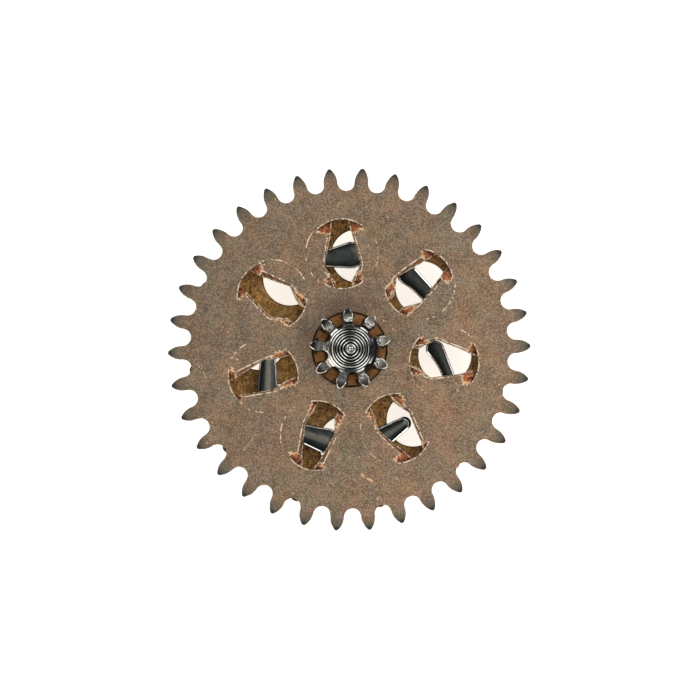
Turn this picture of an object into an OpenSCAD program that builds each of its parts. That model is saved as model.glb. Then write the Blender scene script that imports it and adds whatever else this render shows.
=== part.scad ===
// Reversing wheel of a self-winding watch.
// A toothed upper wheel runs free on a bush on a pinion arbor. Loose steel pawls lie in round
// pockets sunk into its underside, below a thin web with a window over each pocket. An end of
// a pawl drops into a hole of the lower wheel, which is riveted to the arbor, and drives it.
// Millimetres, +Z up along the arbor. The origin is where the lower pivot meets its shoulder.

/* [Upper wheel] */
// Teeth of the upper wheel
upper_teeth = 34; // [30:1:38]
// Radius over the tooth tips
upper_tip_r = 3.10; // [3.02:0.01:3.16]
// Radius at the bottom of the tooth gaps
upper_root_r = 2.716; // [2.68:0.002:2.74]
// Radius of the round bottom of a tooth gap
upper_gap_r = 0.15; // [0.12:0.005:0.16]
// Half the width of the blunt end of a tooth
upper_tip_half = 0.022; // [0.01:0.002:0.04]
// Angle of the first tooth
upper_tooth_turn = 1.14; // [0:0.1:10.6]
// Thickness of the upper wheel
upper_t = 0.32; // [0.30:0.01:0.36]
// Radius of the bore that runs on the bush
upper_bore_r = 0.646; // [0.64:0.002:0.67]

/* [Pockets and windows] */
// Pockets round the upper wheel
pocket_count = 7; // [7:1:7]
// Radius of the circle of pocket centres
pocket_ring_r = 1.602; // [1.58:0.002:1.62]
// Radius of a pocket
pocket_r = 0.584; // [0.575:0.001:0.60]
// Angle of the first pocket, which has lost its pawl
first_pocket = 145.7; // [140:0.1:150]
// Thickness of the web left over a pocket
web_t = 0.09; // [0.07:0.01:0.10]
// Half width of the window at its outer end
window_outer_half = 0.175; // [0.15:0.005:0.20]
// Half width of the window at its widest
window_wide_half = 0.325; // [0.28:0.005:0.34]
// Place of the widest part, outward from the pocket centre
window_wide_at = -0.154; // [-0.20:0.002:-0.10]
// Half width of the window at its inner end
window_inner_half = 0.20; // [0.17:0.005:0.22]
// How far the sides of a window lean back, as a share of its size
window_lean = 0.08; // [0:0.01:0.12]
// Depth of the torn hollows at the corners of a window
ear_depth = 0.065; // [0.03:0.005:0.07]
// Reach of the hollows to each side of the window
ear_reach = 0.385; // [0.35:0.005:0.40]

/* [Pawls] */
// Length of a pawl
pawl_l = 0.83; // [0.80:0.01:0.88]
// Radius of the slim end
pawl_nose_r = 0.115; // [0.10:0.005:0.13]
// Radius of the broad end
pawl_tail_r = 0.19; // [0.17:0.005:0.20]
// Thickness of a pawl
pawl_t = 0.14; // [0.12:0.01:0.14]
// Bevel along the edges of a pawl
pawl_bevel = 0.025; // [0.02:0.005:0.04]
// Play between a pawl and the web above it
pawl_play = 0.01; // [0.01:0.005:0.02]

/* [Lower wheel] */
// Teeth of the lower wheel
lower_teeth = 23; // [20:1:26]
// Radius over the tips of the lower wheel
lower_tip_r = 2.79; // [2.70:0.01:2.80]
// Radius at the bottom of its tooth gaps
lower_root_r = 2.36; // [2.30:0.01:2.40]
// Radius of the round bottom of its tooth gaps
lower_gap_r = 0.19; // [0.15:0.01:0.20]
// Half the width of the blunt end of its teeth
lower_tip_half = 0.03; // [0.02:0.002:0.05]
// Angle of its first tooth
lower_tooth_turn = 156.3; // [150:0.1:165]
// Thickness of the lower wheel
lower_t = 0.25; // [0.20:0.01:0.28]
// Holes that the pawls drop into
hole_count = 8; // [8:1:8]
// Radius of the circle of hole centres
hole_ring_r = 1.61; // [1.59:0.002:1.63]
// Radius of a hole
hole_r = 0.46; // [0.44:0.005:0.48]
// Angle of the first hole
first_hole = 131.2; // [128:0.1:134]
// Gap between the two wheels
wheel_gap = 0.02; // [0.015:0.005:0.03]

/* [Bush] */
// Outer radius of the bush that the upper wheel runs on
bush_r = 0.628; // [0.61:0.002:0.632]
// How far the bush stands above the upper wheel
bush_stand = 0.015; // [0.01:0.005:0.03]

/* [Arbor and pinion] */
// Leaves of the pinion
leaves = 9; // [8:1:10]
// Radius over the leaves
leaf_tip_r = 0.697; // [0.68:0.001:0.71]
// Radius at the bottom of the gaps between the leaves
leaf_root_r = 0.385; // [0.37:0.001:0.395]
// Radius of the round bottom of those gaps
leaf_gap_r = 0.088; // [0.08:0.001:0.09]
// Half the width of a leaf at its thickest
leaf_half = 0.085; // [0.075:0.001:0.09]
// Radius at which a leaf is thickest
leaf_wide_at = 0.547; // [0.52:0.001:0.56]
// Angle of the first leaf
leaf_turn = 94.2; // [90:0.1:98]
// Length of the pinion
pinion_l = 0.50; // [0.40:0.01:0.60]
// Height of the bevel turned on the ends of the leaves
leaf_bevel = 0.07; // [0.04:0.01:0.10]
// Radius of the seat that carries the wheel and the bush
seat_r = 0.30; // [0.28:0.005:0.305]
// Radius of both pivots
pivot_r = 0.08; // [0.07:0.005:0.09]
// Length of both pivots
pivot_l = 0.25; // [0.20:0.01:0.30]
// Radius of the shoulder above the lower pivot
shoulder_r = 0.15; // [0.14:0.01:0.17]

/* [Hidden] */
$fn = 96;
cut = 0.05;

// Heights along the arbor, from the shoulder of the lower pivot upward
lower_z = 0.20;
upper_z = lower_z + lower_t + wheel_gap;
upper_top = upper_z + upper_t;
roof_z = upper_top - web_t;
pinion_z = upper_top + bush_stand;
pinion_top = pinion_z + pinion_l;
rivet_r = 0.36;
rivet_t = 0.035;

// Rings turned on the end of the arbor, each a small step nearer to the pivot
rings_r = 0.285;
ring_step_r = 0.05;
ring_step_z = 0.014;
ring_steps = 4;
upper_shoulder_z = pinion_top + ring_steps * ring_step_z;
// Groove turned round the raised lip outside those rings, and how deep it is
groove_r = 0.345;
groove_z = 0.022;

// How far round each window was cut off the centre of its pocket, anticlockwise
window_shifts = [-0.009, 0.004, 0.068, 0.068, 0.043, 0.026, 0.013];

// How each pawl lies in its pocket: how far outward and how far round from the pocket's centre,
// which way its slim end points (0 is outward, 90 is anticlockwise), and how broad it is beside
// the others
pawl_lies = [
    [-0.003, 0.034, 90, 1.20],
    [0.014, 0.000, -90, 1.00],
    [-0.008, 0.017, -57.7, 0.85],
    [-0.020, -0.112, 93, 1.00],
    [0.006, 0.000, -88, 1.20],
    [-0.137, 0.017, -110, 1.00]
];

bronze = [0.47, 0.38, 0.30];
old_brass = [0.45, 0.33, 0.16];
bush_colour = [0.52, 0.35, 0.17];
steel = [0.62, 0.63, 0.65];
dark_steel = [0.16, 0.17, 0.18];

// A disc with watch teeth: round gap bottoms, and tips pointed by two arcs that meet the
// sides of the gaps without a step.
module toothed_disc(teeth, tip_r, root_r, gap_r, tip_half) {
    gap_at = root_r + gap_r;
    flank_half = gap_at * PI / teeth - gap_r;
    fall = flank_half - tip_half;
    rise = tip_r - gap_at;
    arc_r = (rise * rise + fall * fall) / (2 * fall);
    difference() {
        circle(r = gap_at);
        for (k = [0 : teeth - 1])
            rotate((k + 0.5) * 360 / teeth)
                translate([gap_at, 0])
                    circle(r = gap_r, $fn = 48);
    }
    for (k = [0 : teeth - 1])
        rotate(k * 360 / teeth)
            intersection() {
                circle(r = tip_r, $fn = 360);
                translate([gap_at, arc_r - flank_half])
                    circle(r = arc_r);
                translate([gap_at, flank_half - arc_r])
                    circle(r = arc_r);
            }
}

// The outline of a window about the pocket centre, X outward along the wheel's radius
module window_outline(shift) {
    reach = pocket_r - 0.02;
    neck_at = 0.41;
    intersection() {
        circle(r = reach, $fn = 64);
        translate([0, shift])
            polygon([
                [pocket_r, window_outer_half], [neck_at, window_outer_half],
                [window_wide_at, window_wide_half],
                [-neck_at, window_inner_half], [-pocket_r, window_inner_half],
                [-pocket_r, -window_inner_half], [-neck_at, -window_inner_half],
                [window_wide_at, -window_wide_half],
                [neck_at, -window_outer_half], [pocket_r, -window_outer_half]
            ]);
    }
}

// A torn hollow beside one end of a window: its floor falls from the reach to the window
module ear(end_half, reach, neck_at, side) {
    slope = atan(ear_depth / (reach - end_half));
    mirror([0, side < 0 ? 1 : 0, 0])
        translate([0, reach, upper_top])
            rotate([slope, 0, 0])
                translate([0, -reach, 0])
                    linear_extrude(web_t * 2)
                        intersection() {
                            circle(r = pocket_r, $fn = 64);
                            polygon([
                                [neck_at, end_half - cut], [neck_at + 0.045, reach],
                                [pocket_r, reach], [pocket_r, end_half - cut]
                            ]);
                        }
}

// A window through the web, its sides leaning back all the way up
module window(shift) {
    low = 1 - window_lean * cut / web_t;
    high = 1 + window_lean * (web_t + cut) / web_t;
    translate([0, 0, roof_z - cut])
        linear_extrude(web_t + 2 * cut, scale = high / low)
            scale([low, low])
                window_outline(shift);
}

module pocket(shift) {
    translate([0, 0, upper_z - cut])
        cylinder(r = pocket_r, h = upper_t - web_t + cut);
    window(shift);
    for (side = [-1, 1]) {
        aside = side * shift;
        ear(window_outer_half + aside, ear_reach + aside, 0.40, side);
        mirror([1, 0, 0])
            ear(window_inner_half + aside, ear_reach + aside, 0.42, side);
    }
}

module upper_wheel() {
    color(bronze)
        difference() {
            translate([0, 0, upper_z])
                linear_extrude(upper_t)
                    rotate(upper_tooth_turn)
                        toothed_disc(upper_teeth, upper_tip_r, upper_root_r, upper_gap_r,
                            upper_tip_half);
            translate([0, 0, upper_z - cut])
                cylinder(r = upper_bore_r, h = upper_t + 2 * cut);
            for (k = [0 : pocket_count - 1])
                rotate(first_pocket - k * 360 / pocket_count)
                    translate([pocket_ring_r, 0, 0])
                        pocket(window_shifts[k]);
        }
}

module lower_wheel() {
    color(old_brass)
        difference() {
            translate([0, 0, lower_z])
                linear_extrude(lower_t)
                    rotate(lower_tooth_turn)
                        toothed_disc(lower_teeth, lower_tip_r, lower_root_r, lower_gap_r,
                            lower_tip_half);
            translate([0, 0, lower_z - cut])
                cylinder(r = seat_r, h = lower_t + 2 * cut);
            for (k = [0 : hole_count - 1])
                rotate(first_hole - k * 360 / hole_count)
                    translate([hole_ring_r, 0, lower_z - cut])
                        cylinder(r = hole_r, h = lower_t + 2 * cut);
        }
}

module bush() {
    bush_z = lower_z + lower_t;
    chamfer = 0.02;
    color(bush_colour)
        rotate_extrude()
            polygon([
                [seat_r, bush_z], [bush_r, bush_z], [bush_r, pinion_z - chamfer],
                [bush_r - chamfer, pinion_z], [seat_r, pinion_z]
            ]);
}

// One leaf along X: a neck that widens outward from where the gaps leave it narrowest, closed
// by two arcs
module leaf_outline() {
    gap_at = leaf_root_r + leaf_gap_r;
    neck_at = gap_at * cos(180 / leaves);
    neck_half = gap_at * sin(180 / leaves) - leaf_gap_r;
    tip_half = 0.018;
    fall = leaf_half - tip_half;
    rise = leaf_tip_r - leaf_wide_at;
    arc_r = (rise * rise + fall * fall) / (2 * fall);
    polygon([
        [leaf_root_r - cut, -neck_half], [neck_at, -neck_half], [leaf_wide_at, -leaf_half],
        [leaf_wide_at, leaf_half], [neck_at, neck_half], [leaf_root_r - cut, neck_half]
    ]);
    intersection() {
        circle(r = leaf_tip_r);
        translate([leaf_wide_at, -arc_r])
            square([leaf_tip_r, 2 * arc_r]);
        translate([leaf_wide_at, arc_r - leaf_half])
            circle(r = arc_r);
        translate([leaf_wide_at, leaf_half - arc_r])
            circle(r = arc_r);
    }
}

module pinion() {
    gap_at = leaf_root_r + leaf_gap_r;
    bevel_from_r = 0.525;
    hollow_to_r = 0.455;
    difference() {
        translate([0, 0, pinion_z])
            linear_extrude(pinion_l) {
                difference() {
                    circle(r = gap_at);
                    for (k = [0 : leaves - 1])
                        rotate(leaf_turn + (k + 0.5) * 360 / leaves)
                            translate([gap_at, 0])
                                circle(r = leaf_gap_r, $fn = 48);
                }
                for (k = [0 : leaves - 1])
                    rotate(leaf_turn + k * 360 / leaves)
                        leaf_outline();
            }
        // bevel on the tips of the leaves
        rotate_extrude()
            polygon([
                [bevel_from_r, pinion_top], [leaf_tip_r + cut, pinion_top - leaf_bevel],
                [leaf_tip_r + cut, pinion_top + cut], [bevel_from_r, pinion_top + cut]
            ]);
        // hollow turned round the lip, down to its groove
        rotate_extrude()
            polygon([
                [groove_r, pinion_top - groove_z], [hollow_to_r, pinion_top],
                [hollow_to_r, pinion_top + cut], [groove_r, pinion_top + cut]
            ]);
    }
}

module arbor() {
    round_off = 0.03;
    color(steel) {
        pinion();
        // lower pivot, shoulder, riveted lip and seat
        rotate_extrude()
            polygon([
                [0, -pivot_l], [pivot_r - round_off, -pivot_l], [pivot_r, -pivot_l + round_off],
                [pivot_r, 0], [shoulder_r, 0], [shoulder_r + cut, lower_z - 2 * rivet_t],
                [rivet_r - rivet_t, lower_z - rivet_t], [rivet_r, lower_z],
                [seat_r, lower_z], [seat_r, pinion_z], [0, pinion_z]
            ]);
        // turned lip and rings, and upper pivot
        rotate_extrude()
            polygon([
                [rings_r - cut, pinion_top - cut], [groove_r, pinion_top - cut],
                [groove_r, pinion_top - groove_z], [groove_r - 0.014, pinion_top + 0.006],
                [groove_r - 0.029, pinion_top + 0.012], [groove_r - 0.045, pinion_top + 0.004],
                [rings_r, pinion_top], [rings_r - cut, pinion_top]
            ]);
        for (k = [0 : ring_steps - 1])
            translate([0, 0, pinion_top + k * ring_step_z])
                cylinder(r1 = rings_r - k * ring_step_r,
                    r2 = rings_r - k * ring_step_r - 0.012, h = ring_step_z);
        rotate_extrude()
            polygon([
                [0, upper_shoulder_z], [pivot_r, upper_shoulder_z],
                [pivot_r, upper_shoulder_z + pivot_l - round_off],
                [pivot_r - round_off, upper_shoulder_z + pivot_l],
                [0, upper_shoulder_z + pivot_l]
            ]);
    }
}

// A bevelled disc, one end of a pawl
module pawl_end(end_r) {
    translate([0, 0, pawl_bevel])
        cylinder(r = end_r, h = pawl_t - 2 * pawl_bevel, $fn = 32);
    cylinder(r = end_r - pawl_bevel, h = pawl_t, $fn = 32);
}

// A pawl from its broad end to its slim end along X, centred on its length
module pawl(k) {
    lie = pawl_lies[k];
    broad = lie[3];
    color(dark_steel)
        rotate(first_pocket - (k + 1) * 360 / pocket_count)
            translate([pocket_ring_r + lie[0], lie[1], roof_z - pawl_play - pawl_t])
                rotate(lie[2])
                    hull() {
                        translate([pawl_tail_r * broad - pawl_l / 2, 0, 0])
                            pawl_end(pawl_tail_r * broad);
                        translate([pawl_l / 2 - pawl_nose_r * broad, 0, 0])
                            pawl_end(pawl_nose_r * broad);
                    }
}

module pawl_1() { pawl(0); }
module pawl_2() { pawl(1); }
module pawl_3() { pawl(2); }
module pawl_4() { pawl(3); }
module pawl_5() { pawl(4); }
module pawl_6() { pawl(5); }

arbor();
bush();
lower_wheel();
upper_wheel();
pawl_1();
pawl_2();
pawl_3();
pawl_4();
pawl_5();
pawl_6();
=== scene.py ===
# %% [markdown]
# # A watch reversing wheel, dressed around its frame
# This wheel is the freewheel in the winding train of a self-winding watch. A toothed bronze
# wheel turns on a bush, loose steel pawls lie in pockets under its thin web, and a pierced
# brass wheel below is riveted to the pinion arbor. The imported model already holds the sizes,
# the bodies and the joints, so each piece here takes its place from that model. Every form is
# worked out as whole arrays of points, because a formula says what the form is.

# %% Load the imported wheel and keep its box
import math

import bpy
import numpy as np
from mathutils import Matrix, Vector


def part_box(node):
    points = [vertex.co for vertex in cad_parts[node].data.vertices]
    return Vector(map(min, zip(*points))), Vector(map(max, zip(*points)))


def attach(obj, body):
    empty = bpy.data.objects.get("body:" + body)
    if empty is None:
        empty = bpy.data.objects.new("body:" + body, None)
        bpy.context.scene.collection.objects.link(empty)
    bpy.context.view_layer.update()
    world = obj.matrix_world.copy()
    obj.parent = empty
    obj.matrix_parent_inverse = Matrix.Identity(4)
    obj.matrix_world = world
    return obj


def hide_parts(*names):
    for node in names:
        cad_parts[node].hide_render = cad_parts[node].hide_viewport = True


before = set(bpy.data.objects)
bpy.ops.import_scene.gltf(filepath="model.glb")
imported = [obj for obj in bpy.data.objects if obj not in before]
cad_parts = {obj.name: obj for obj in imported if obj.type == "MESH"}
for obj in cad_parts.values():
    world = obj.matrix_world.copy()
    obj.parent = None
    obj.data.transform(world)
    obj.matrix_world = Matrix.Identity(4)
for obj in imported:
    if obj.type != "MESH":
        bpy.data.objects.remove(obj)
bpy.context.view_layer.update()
MM = 0.001
print("nodes", sorted(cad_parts))

# %% [markdown]
# ## Heights from the frame
# The wheels, the bush and the pawls are stacked along the arbor. Their heights could be typed
# in again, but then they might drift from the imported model, so they are read off its boxes.

# %% Read the heights of the stack
def heights(node_name):
    """Lowest and highest z of a node, in millimetres."""
    low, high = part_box(node_name)
    return round(low.z / MM, 4), round(high.z / MM, 4)


UPPER_LOW, UPPER_TOP = heights("upper_wheel")
LOWER_LOW, LOWER_TOP = heights("lower_wheel")
BUSH_LOW, BUSH_TOP = heights("bush")
ARBOR_LOW, ARBOR_TOP = heights("arbor")
PAWL_LOW, PAWL_TOP = heights("pawl_1")
print("upper wheel", UPPER_LOW, UPPER_TOP, "pawls", PAWL_LOW, PAWL_TOP)

# %% [markdown]
# ## The camera
# The photograph looks down the arbor from far away, a little from the lower left: the pinion,
# which stands higher than the wheel, is shifted to the upper right by a pixel. A long lens at
# the matching distance keeps all teeth alike.

# %% Set the camera over the arbor
FRAME_WIDTH = 11.956  # millimetres of the wheel's plane across the frame
LENS = 200.0
SENSOR = 36.0
AIM_X, AIM_Y = 0.0082, -0.0097
ASIDE_X, ASIDE_Y = -2.2, -1.1

camera_data = bpy.data.cameras.new("camera")
camera_data.lens = LENS
camera_data.sensor_width = SENSOR
camera_data.clip_start = 0.001
camera = bpy.data.objects.new("camera", camera_data)
bpy.context.scene.collection.objects.link(camera)
aim = Vector((AIM_X, AIM_Y, UPPER_TOP)) * MM
camera.location = aim + Vector((ASIDE_X, ASIDE_Y, FRAME_WIDTH * LENS / SENSOR)) * MM
sight = (aim - camera.location).normalized()
rightward = sight.cross(Vector((0.0, 1.0, 0.0))).normalized()
camera.rotation_euler = Matrix((rightward, rightward.cross(sight), -sight)).transposed().to_euler()
bpy.context.scene.camera = camera
bpy.context.scene.view_settings.view_transform = "Standard"
print("camera", round(camera.location.z / MM, 2), "mm above the origin")

# %% [markdown]
# ## Small tools for node trees
# A material is a tree of small steps. Making each node by hand takes four lines, so these
# helpers make one node, set it and link it in one call. Colours are noted on the 0 to 255
# scale that a picture shows, and turned into the linear values that a shader takes.

# %% Make and feed nodes
def paint(red, green, blue):
    """A colour on the 0 to 255 scale as linear values: the inverse of the sRGB curve."""
    level = np.array([red, green, blue]) / 255
    linear = np.where(level <= 0.04045, level / 12.92, ((level + 0.055) / 1.055) ** 2.4)
    return (*linear.tolist(), 1.0)


def feed(node, inputs):
    """Gives a node its inputs: each takes a value, or a link if it is given a socket."""
    for key, value in dict(inputs).items():
        if isinstance(value, bpy.types.NodeSocket):
            node.id_data.links.new(value, node.inputs[key])
        else:
            node.inputs[key].default_value = value
    return node


def step(tree, kind, inputs=(), **settings):
    """One new node of the tree, with its settings and its inputs."""
    made = tree.nodes.new("ShaderNode" + kind)
    for key, value in settings.items():
        setattr(made, key, value)
    return feed(made, inputs)


def joined(kind, inputs, **settings):
    """One new node in the tree to which the sockets among its inputs belong."""
    socket = next(value for value in inputs.values() if isinstance(value, bpy.types.NodeSocket))
    return step(socket.id_data, kind, inputs, **settings)


print("level 128 is", round(paint(128, 128, 128)[0], 3), "of full light")

# %% Sums of values, vectors and colours
def maths(operation, first, second=0.0, clamp=False):
    """One sum of two values."""
    return joined("Math", {0: first, 1: second}, operation=operation, use_clamp=clamp).outputs[0]


def times(first, second):
    """The product of two values."""
    return maths("MULTIPLY", first, second)


def plus(first, second):
    """The sum of two values."""
    return maths("ADD", first, second)


def minus(first, second):
    """The first value less the second."""
    return maths("SUBTRACT", first, second)


def larger(first, second):
    """The larger of two values, which joins two masks."""
    return maths("MAXIMUM", first, second)


def vector(operation, first, second=(0.0, 0.0, 0.0), output=0):
    """One step with vectors, which gives a vector, or a value if output is "Value"."""
    return joined("VectorMath", {0: first, 1: second}, operation=operation).outputs[output]


def scaled(first, factor):
    """A vector made longer or shorter by a factor."""
    return joined("VectorMath", {0: first, "Scale": factor}, operation="SCALE").outputs[0]


def parts_of(place):
    """The x, y and z of a place."""
    return joined("SeparateXYZ", {0: place}).outputs


def ramp(value, low, high, to_low=0.0, to_high=1.0):
    """A smooth rise from to_low to to_high as the value goes from low to high."""
    inputs = {"Value": value, "From Min": low, "From Max": high, "To Min": to_low, "To Max": to_high}
    return joined("MapRange", inputs, interpolation_type="SMOOTHSTEP").outputs[0]


def blend(mask, to_low, to_high):
    """A smooth rise from to_low to to_high as a mask goes from 0 to 1."""
    return ramp(mask, 0.0, 1.0, to_low, to_high)


def layer(mask, under, over, mode="MIX"):
    """The colour over laid on the colour under where the mask is 1."""
    return joined("Mix", {0: mask, 6: under, 7: over}, data_type="RGBA", blend_type=mode).outputs[2]


def coat(colour, mask, share, *levels):
    """A colour with another laid over it, by a share of a mask; levels run from 0 to 255."""
    return layer(times(mask, share), colour, paint(*levels))


def noise(place, scale, detail):
    """Blender's noise at a place."""
    return joined("TexNoise", {"Vector": place, "Scale": scale, "Detail": detail}).outputs["Fac"]


# %% [markdown]
# ## The light
# The photograph is lit softly from all round, with the dark camera overhead: flat polished
# steel looks almost black, and every turned edge shines. One world does that. Its brightness
# rises from the zenith to the sides, and near the horizon it has four brighter quarters
# between the axes, which draw the bright arcs and the dark cross on the turned rings. One
# soft window of light stands to the upper right. The camera itself sees plain white round the
# object, and so do mirror views that run level with the paper, so the picture's ground stays
# white from every side.

# %% Build the soft studio
ZENITH = 0.18
SIDES = 1.20
QUARTERS = 1.0
WINDOW = 1.0
WINDOW_WAY = (0.449, 0.281, 0.848)
WINDOW_EDGE = (0.87, 0.97)
# Heights in the sky, as the sine of the angle over the horizon, between which each part fades
DOME_FADE = (0.88, 0.70)
QUARTER_FADE = (0.74, 0.55)
LEVEL_FADE = (0.10, 0.03)

world = bpy.data.worlds.new("soft_studio")
bpy.context.scene.world = world
world.use_nodes = True
world.node_tree.nodes.clear()
way = step(world.node_tree, "TexCoord").outputs["Generated"]
x, y, z = parts_of(way)
quarter = maths("DIVIDE", times(times(x, y), 2.0), minus(1.0001, times(z, z)))
quarters = ramp(times(quarter, quarter), 0.08, 0.92, -QUARTERS, QUARTERS)
quarters = plus(times(ramp(z, *QUARTER_FADE), quarters), 1.0)
dome = times(ramp(z, *DOME_FADE, ZENITH, SIDES), quarters)
toward = vector("DOT_PRODUCT", way, WINDOW_WAY, "Value")
bright = plus(dome, ramp(toward, *WINDOW_EDGE, 0.0, WINDOW))
path = step(world.node_tree, "LightPath").outputs
mirrored = times(larger(path["Is Glossy Ray"], path["Is Transmission Ray"]), ramp(z, *LEVEL_FADE))
seen = larger(path["Is Camera Ray"], mirrored)
bright = joined("MapRange", {"Value": seen, "To Min": bright, "To Max": 1.0}).outputs[0]
background = joined("Background", {"Color": (1.0, 1.0, 1.0, 1.0), "Strength": bright})
joined("OutputWorld", {"Surface": background.outputs[0]})
print("world", world.name)

# %% [markdown]
# ## The floor
# The wheel stands on its lower pivot over plain white paper. The paper glows a little for the
# camera, for gloss and for glass, so that it reads as white, and it keeps the soft shadow.

# %% Lay the paper
PAPER_SIZE = 400.0
PAPER_GLOW = 0.76
PAPER_GAP = 0.002


def new_material(name):
    """A material with an empty tree, and the tree."""
    material = bpy.data.materials.new(name)
    material.use_nodes = True
    material.node_tree.nodes.clear()
    return material, material.node_tree


def paper_material():
    """White paper: a matt sheet, with a glow that only eyes, gloss and glass see."""
    material, tree = new_material("white_paper")
    path = step(tree, "LightPath").outputs
    seen = larger(larger(path["Is Camera Ray"], path["Is Glossy Ray"]), path["Is Transmission Ray"])
    glow = joined("Emission", {"Color": paint(255, 251, 243), "Strength": times(seen, PAPER_GLOW)})
    matt = step(tree, "BsdfDiffuse", {"Color": (0.85, 0.85, 0.85, 1.0)})
    both = joined("AddShader", {0: glow.outputs[0], 1: matt.outputs[0]})
    joined("OutputMaterial", {"Surface": both.outputs[0]})
    return material


half_paper = PAPER_SIZE / 2 * MM
paper_z = (ARBOR_LOW - PAPER_GAP) * MM
paper_mesh = bpy.data.meshes.new("paper")
paper_corners = [(-half_paper, -half_paper, paper_z), (half_paper, -half_paper, paper_z),
                 (half_paper, half_paper, paper_z), (-half_paper, half_paper, paper_z)]
paper_mesh.from_pydata(paper_corners, [], [(0, 1, 2, 3)])
paper_mesh.materials.append(paper_material())
paper = bpy.data.objects.new("paper", paper_mesh)
bpy.context.scene.collection.objects.link(paper)
print("paper at", round(paper_z / MM, 3), "mm")

# %% [markdown]
# ## From grids of points to one closed piece
# Each piece is made of a few grids that share their borders: a web between two circles, a row
# of teeth, a bore. A grid holds its points in millimetres, and masks such as where copper is
# torn bare. The grids of a piece are joined by welding equal points, and quads that collapse
# where rows meet are made triangles or dropped, which leaves a closed skin with no T-joints.

# %% Weld grids into a skin
WELD = 1e-5


def grid(rows, *names):
    """A grid from its rows. Each row holds its points, whose last joins the first, and then a
    mask for each name: one value, or one for each point."""
    points, *masks = zip(*rows)
    columns = len(points[0])
    return {"points": np.stack(points),
            "masks": {name: np.stack([np.broadcast_to(mask, columns) for mask in part])
                      for name, part in zip(names, masks)}}


def corners_of(rows, columns, first):
    """Point numbers of each quad of a grid whose points are numbered row by row from first."""
    row = np.arange(rows - 1)[:, None] * columns
    column = np.arange(columns)[None, :]
    beside = (column + 1) % columns
    quads = [row + column, row + beside, row + columns + beside, row + columns + column]
    return first + np.stack(quads, axis=-1).reshape(-1, 4)


def welded(grids):
    """All points of the grids once each, with their masks, and the quads and triangles on them."""
    sizes = [part["points"].shape[0] * part["points"].shape[1] for part in grids]
    firsts = np.concatenate([[0], np.cumsum(sizes)[:-1]])
    quads = np.concatenate([corners_of(*part["points"].shape[:2], first)
                            for part, first in zip(grids, firsts)])
    points = np.concatenate([part["points"].reshape(-1, 3) for part in grids])
    names = sorted(set(name for part in grids for name in part["masks"]))
    masks = {name: np.concatenate([part["masks"].get(name, np.zeros(part["points"].shape[:2])).ravel()
                                   for part in grids]) for name in names}
    keys = np.round(points / WELD).astype(np.int64)
    _, kept, number = np.unique(keys, axis=0, return_index=True, return_inverse=True)
    quads = number.reshape(-1)[quads]
    same = quads == np.roll(quads, -1, axis=1)
    folded = (quads[:, 0] == quads[:, 2]) | (quads[:, 1] == quads[:, 3])
    whole = quads[(same.sum(1) == 0) & ~folded]
    thirds = (same.sum(1) == 1) & ~folded
    triangles = quads[thirds][~same[thirds]].reshape(-1, 3)
    return points[kept], {name: mask[kept] for name, mask in masks.items()}, whole, triangles


def open_edges(quads, triangles):
    """How many edges don't join exactly two faces: 0 on a closed skin."""
    pairs = [faces[:, [side, (side + 1) % faces.shape[1]]]
             for faces in (quads, triangles) for side in range(faces.shape[1])]
    edges = np.sort(np.concatenate(pairs), axis=1)
    _, counts = np.unique(edges, axis=0, return_counts=True)
    return int((counts != 2).sum())


print("points within", WELD, "mm are one")

# %% Make a piece of a skin
def piece(name, grids, material, body, node_name, crease=32.0):
    """One closed object from its grids, smooth but for edges sharper than the crease."""
    points, masks, quads, triangles = welded(grids)
    mesh = bpy.data.meshes.new(name)
    mesh.vertices.add(len(points))
    mesh.vertices.foreach_set("co", (points * MM).ravel())
    mesh.loops.add(quads.size + triangles.size)
    mesh.loops.foreach_set("vertex_index", np.concatenate([quads.ravel(), triangles.ravel()]))
    mesh.polygons.add(len(quads) + len(triangles))
    starts = [np.arange(len(quads)) * 4, quads.size + np.arange(len(triangles)) * 3]
    mesh.polygons.foreach_set("loop_start", np.concatenate(starts))
    mesh.update(calc_edges=True)
    mesh.polygons.foreach_set("use_smooth", np.ones(len(mesh.polygons), bool))
    mesh.set_sharp_from_angle(angle=math.radians(crease))
    for mask_name, mask in masks.items():
        stored = mesh.attributes.new(mask_name, "FLOAT", "POINT")
        stored.data.foreach_set("value", mask.astype(np.float32))
    mesh.materials.append(material)
    made = bpy.data.objects.new(name, mesh)
    bpy.context.scene.collection.objects.link(made)
    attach(made, body)
    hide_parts(node_name)
    print(name, 2 * len(quads) + len(triangles), "triangles,", open_edges(quads, triangles), "open edges")


# %% Place points, and vary them
def polar(radius, turn):
    """Points on the plane from radius and turn, as an array that ends in x and y."""
    return np.stack(np.broadcast_arrays(radius * np.cos(turn), radius * np.sin(turn)), axis=-1)


def lifted(plane, height):
    """Points on the plane raised to a height, as an array that ends in x, y and z."""
    return np.concatenate([plane, np.broadcast_to(height, plane.shape[:-1])[..., None]], axis=-1)


def ring(radius, turns, height):
    """Points round the axis, in the directions of turns, at a height."""
    return lifted(polar(radius, turns), height)


def ripple(turn, lowest, highest, seed):
    """An unevenness that closes on itself: cosines of the turn, one for each whole number of
    waves from lowest to highest, with seeded phases, added up to run about -1 to 1."""
    waves = np.arange(lowest, highest + 1)
    phases = np.random.default_rng(seed).uniform(0, 2 * np.pi, len(waves))
    return np.cos(turn[..., None] * waves + phases).sum(-1) / math.sqrt(len(waves))


def smooth(value, low, high):
    """A soft rise from 0 to 1 between low and high: three times the square less twice the cube."""
    part = np.clip((value - low) / (high - low), 0, 1)
    return part * part * (3 - 2 * part)


# %% [markdown]
# ## Toothed rims
# Both wheels carry watch teeth: round gap bottoms, and flanks that close in two arcs to a
# blunt tip. The outline is worked out for half a tooth, mirrored and repeated. A rim is a
# strip that runs from a circle on the underside out to the teeth and back to the same circle
# on top, with its edges rolled over a little, as stamping and tumbling leave them.

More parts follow.
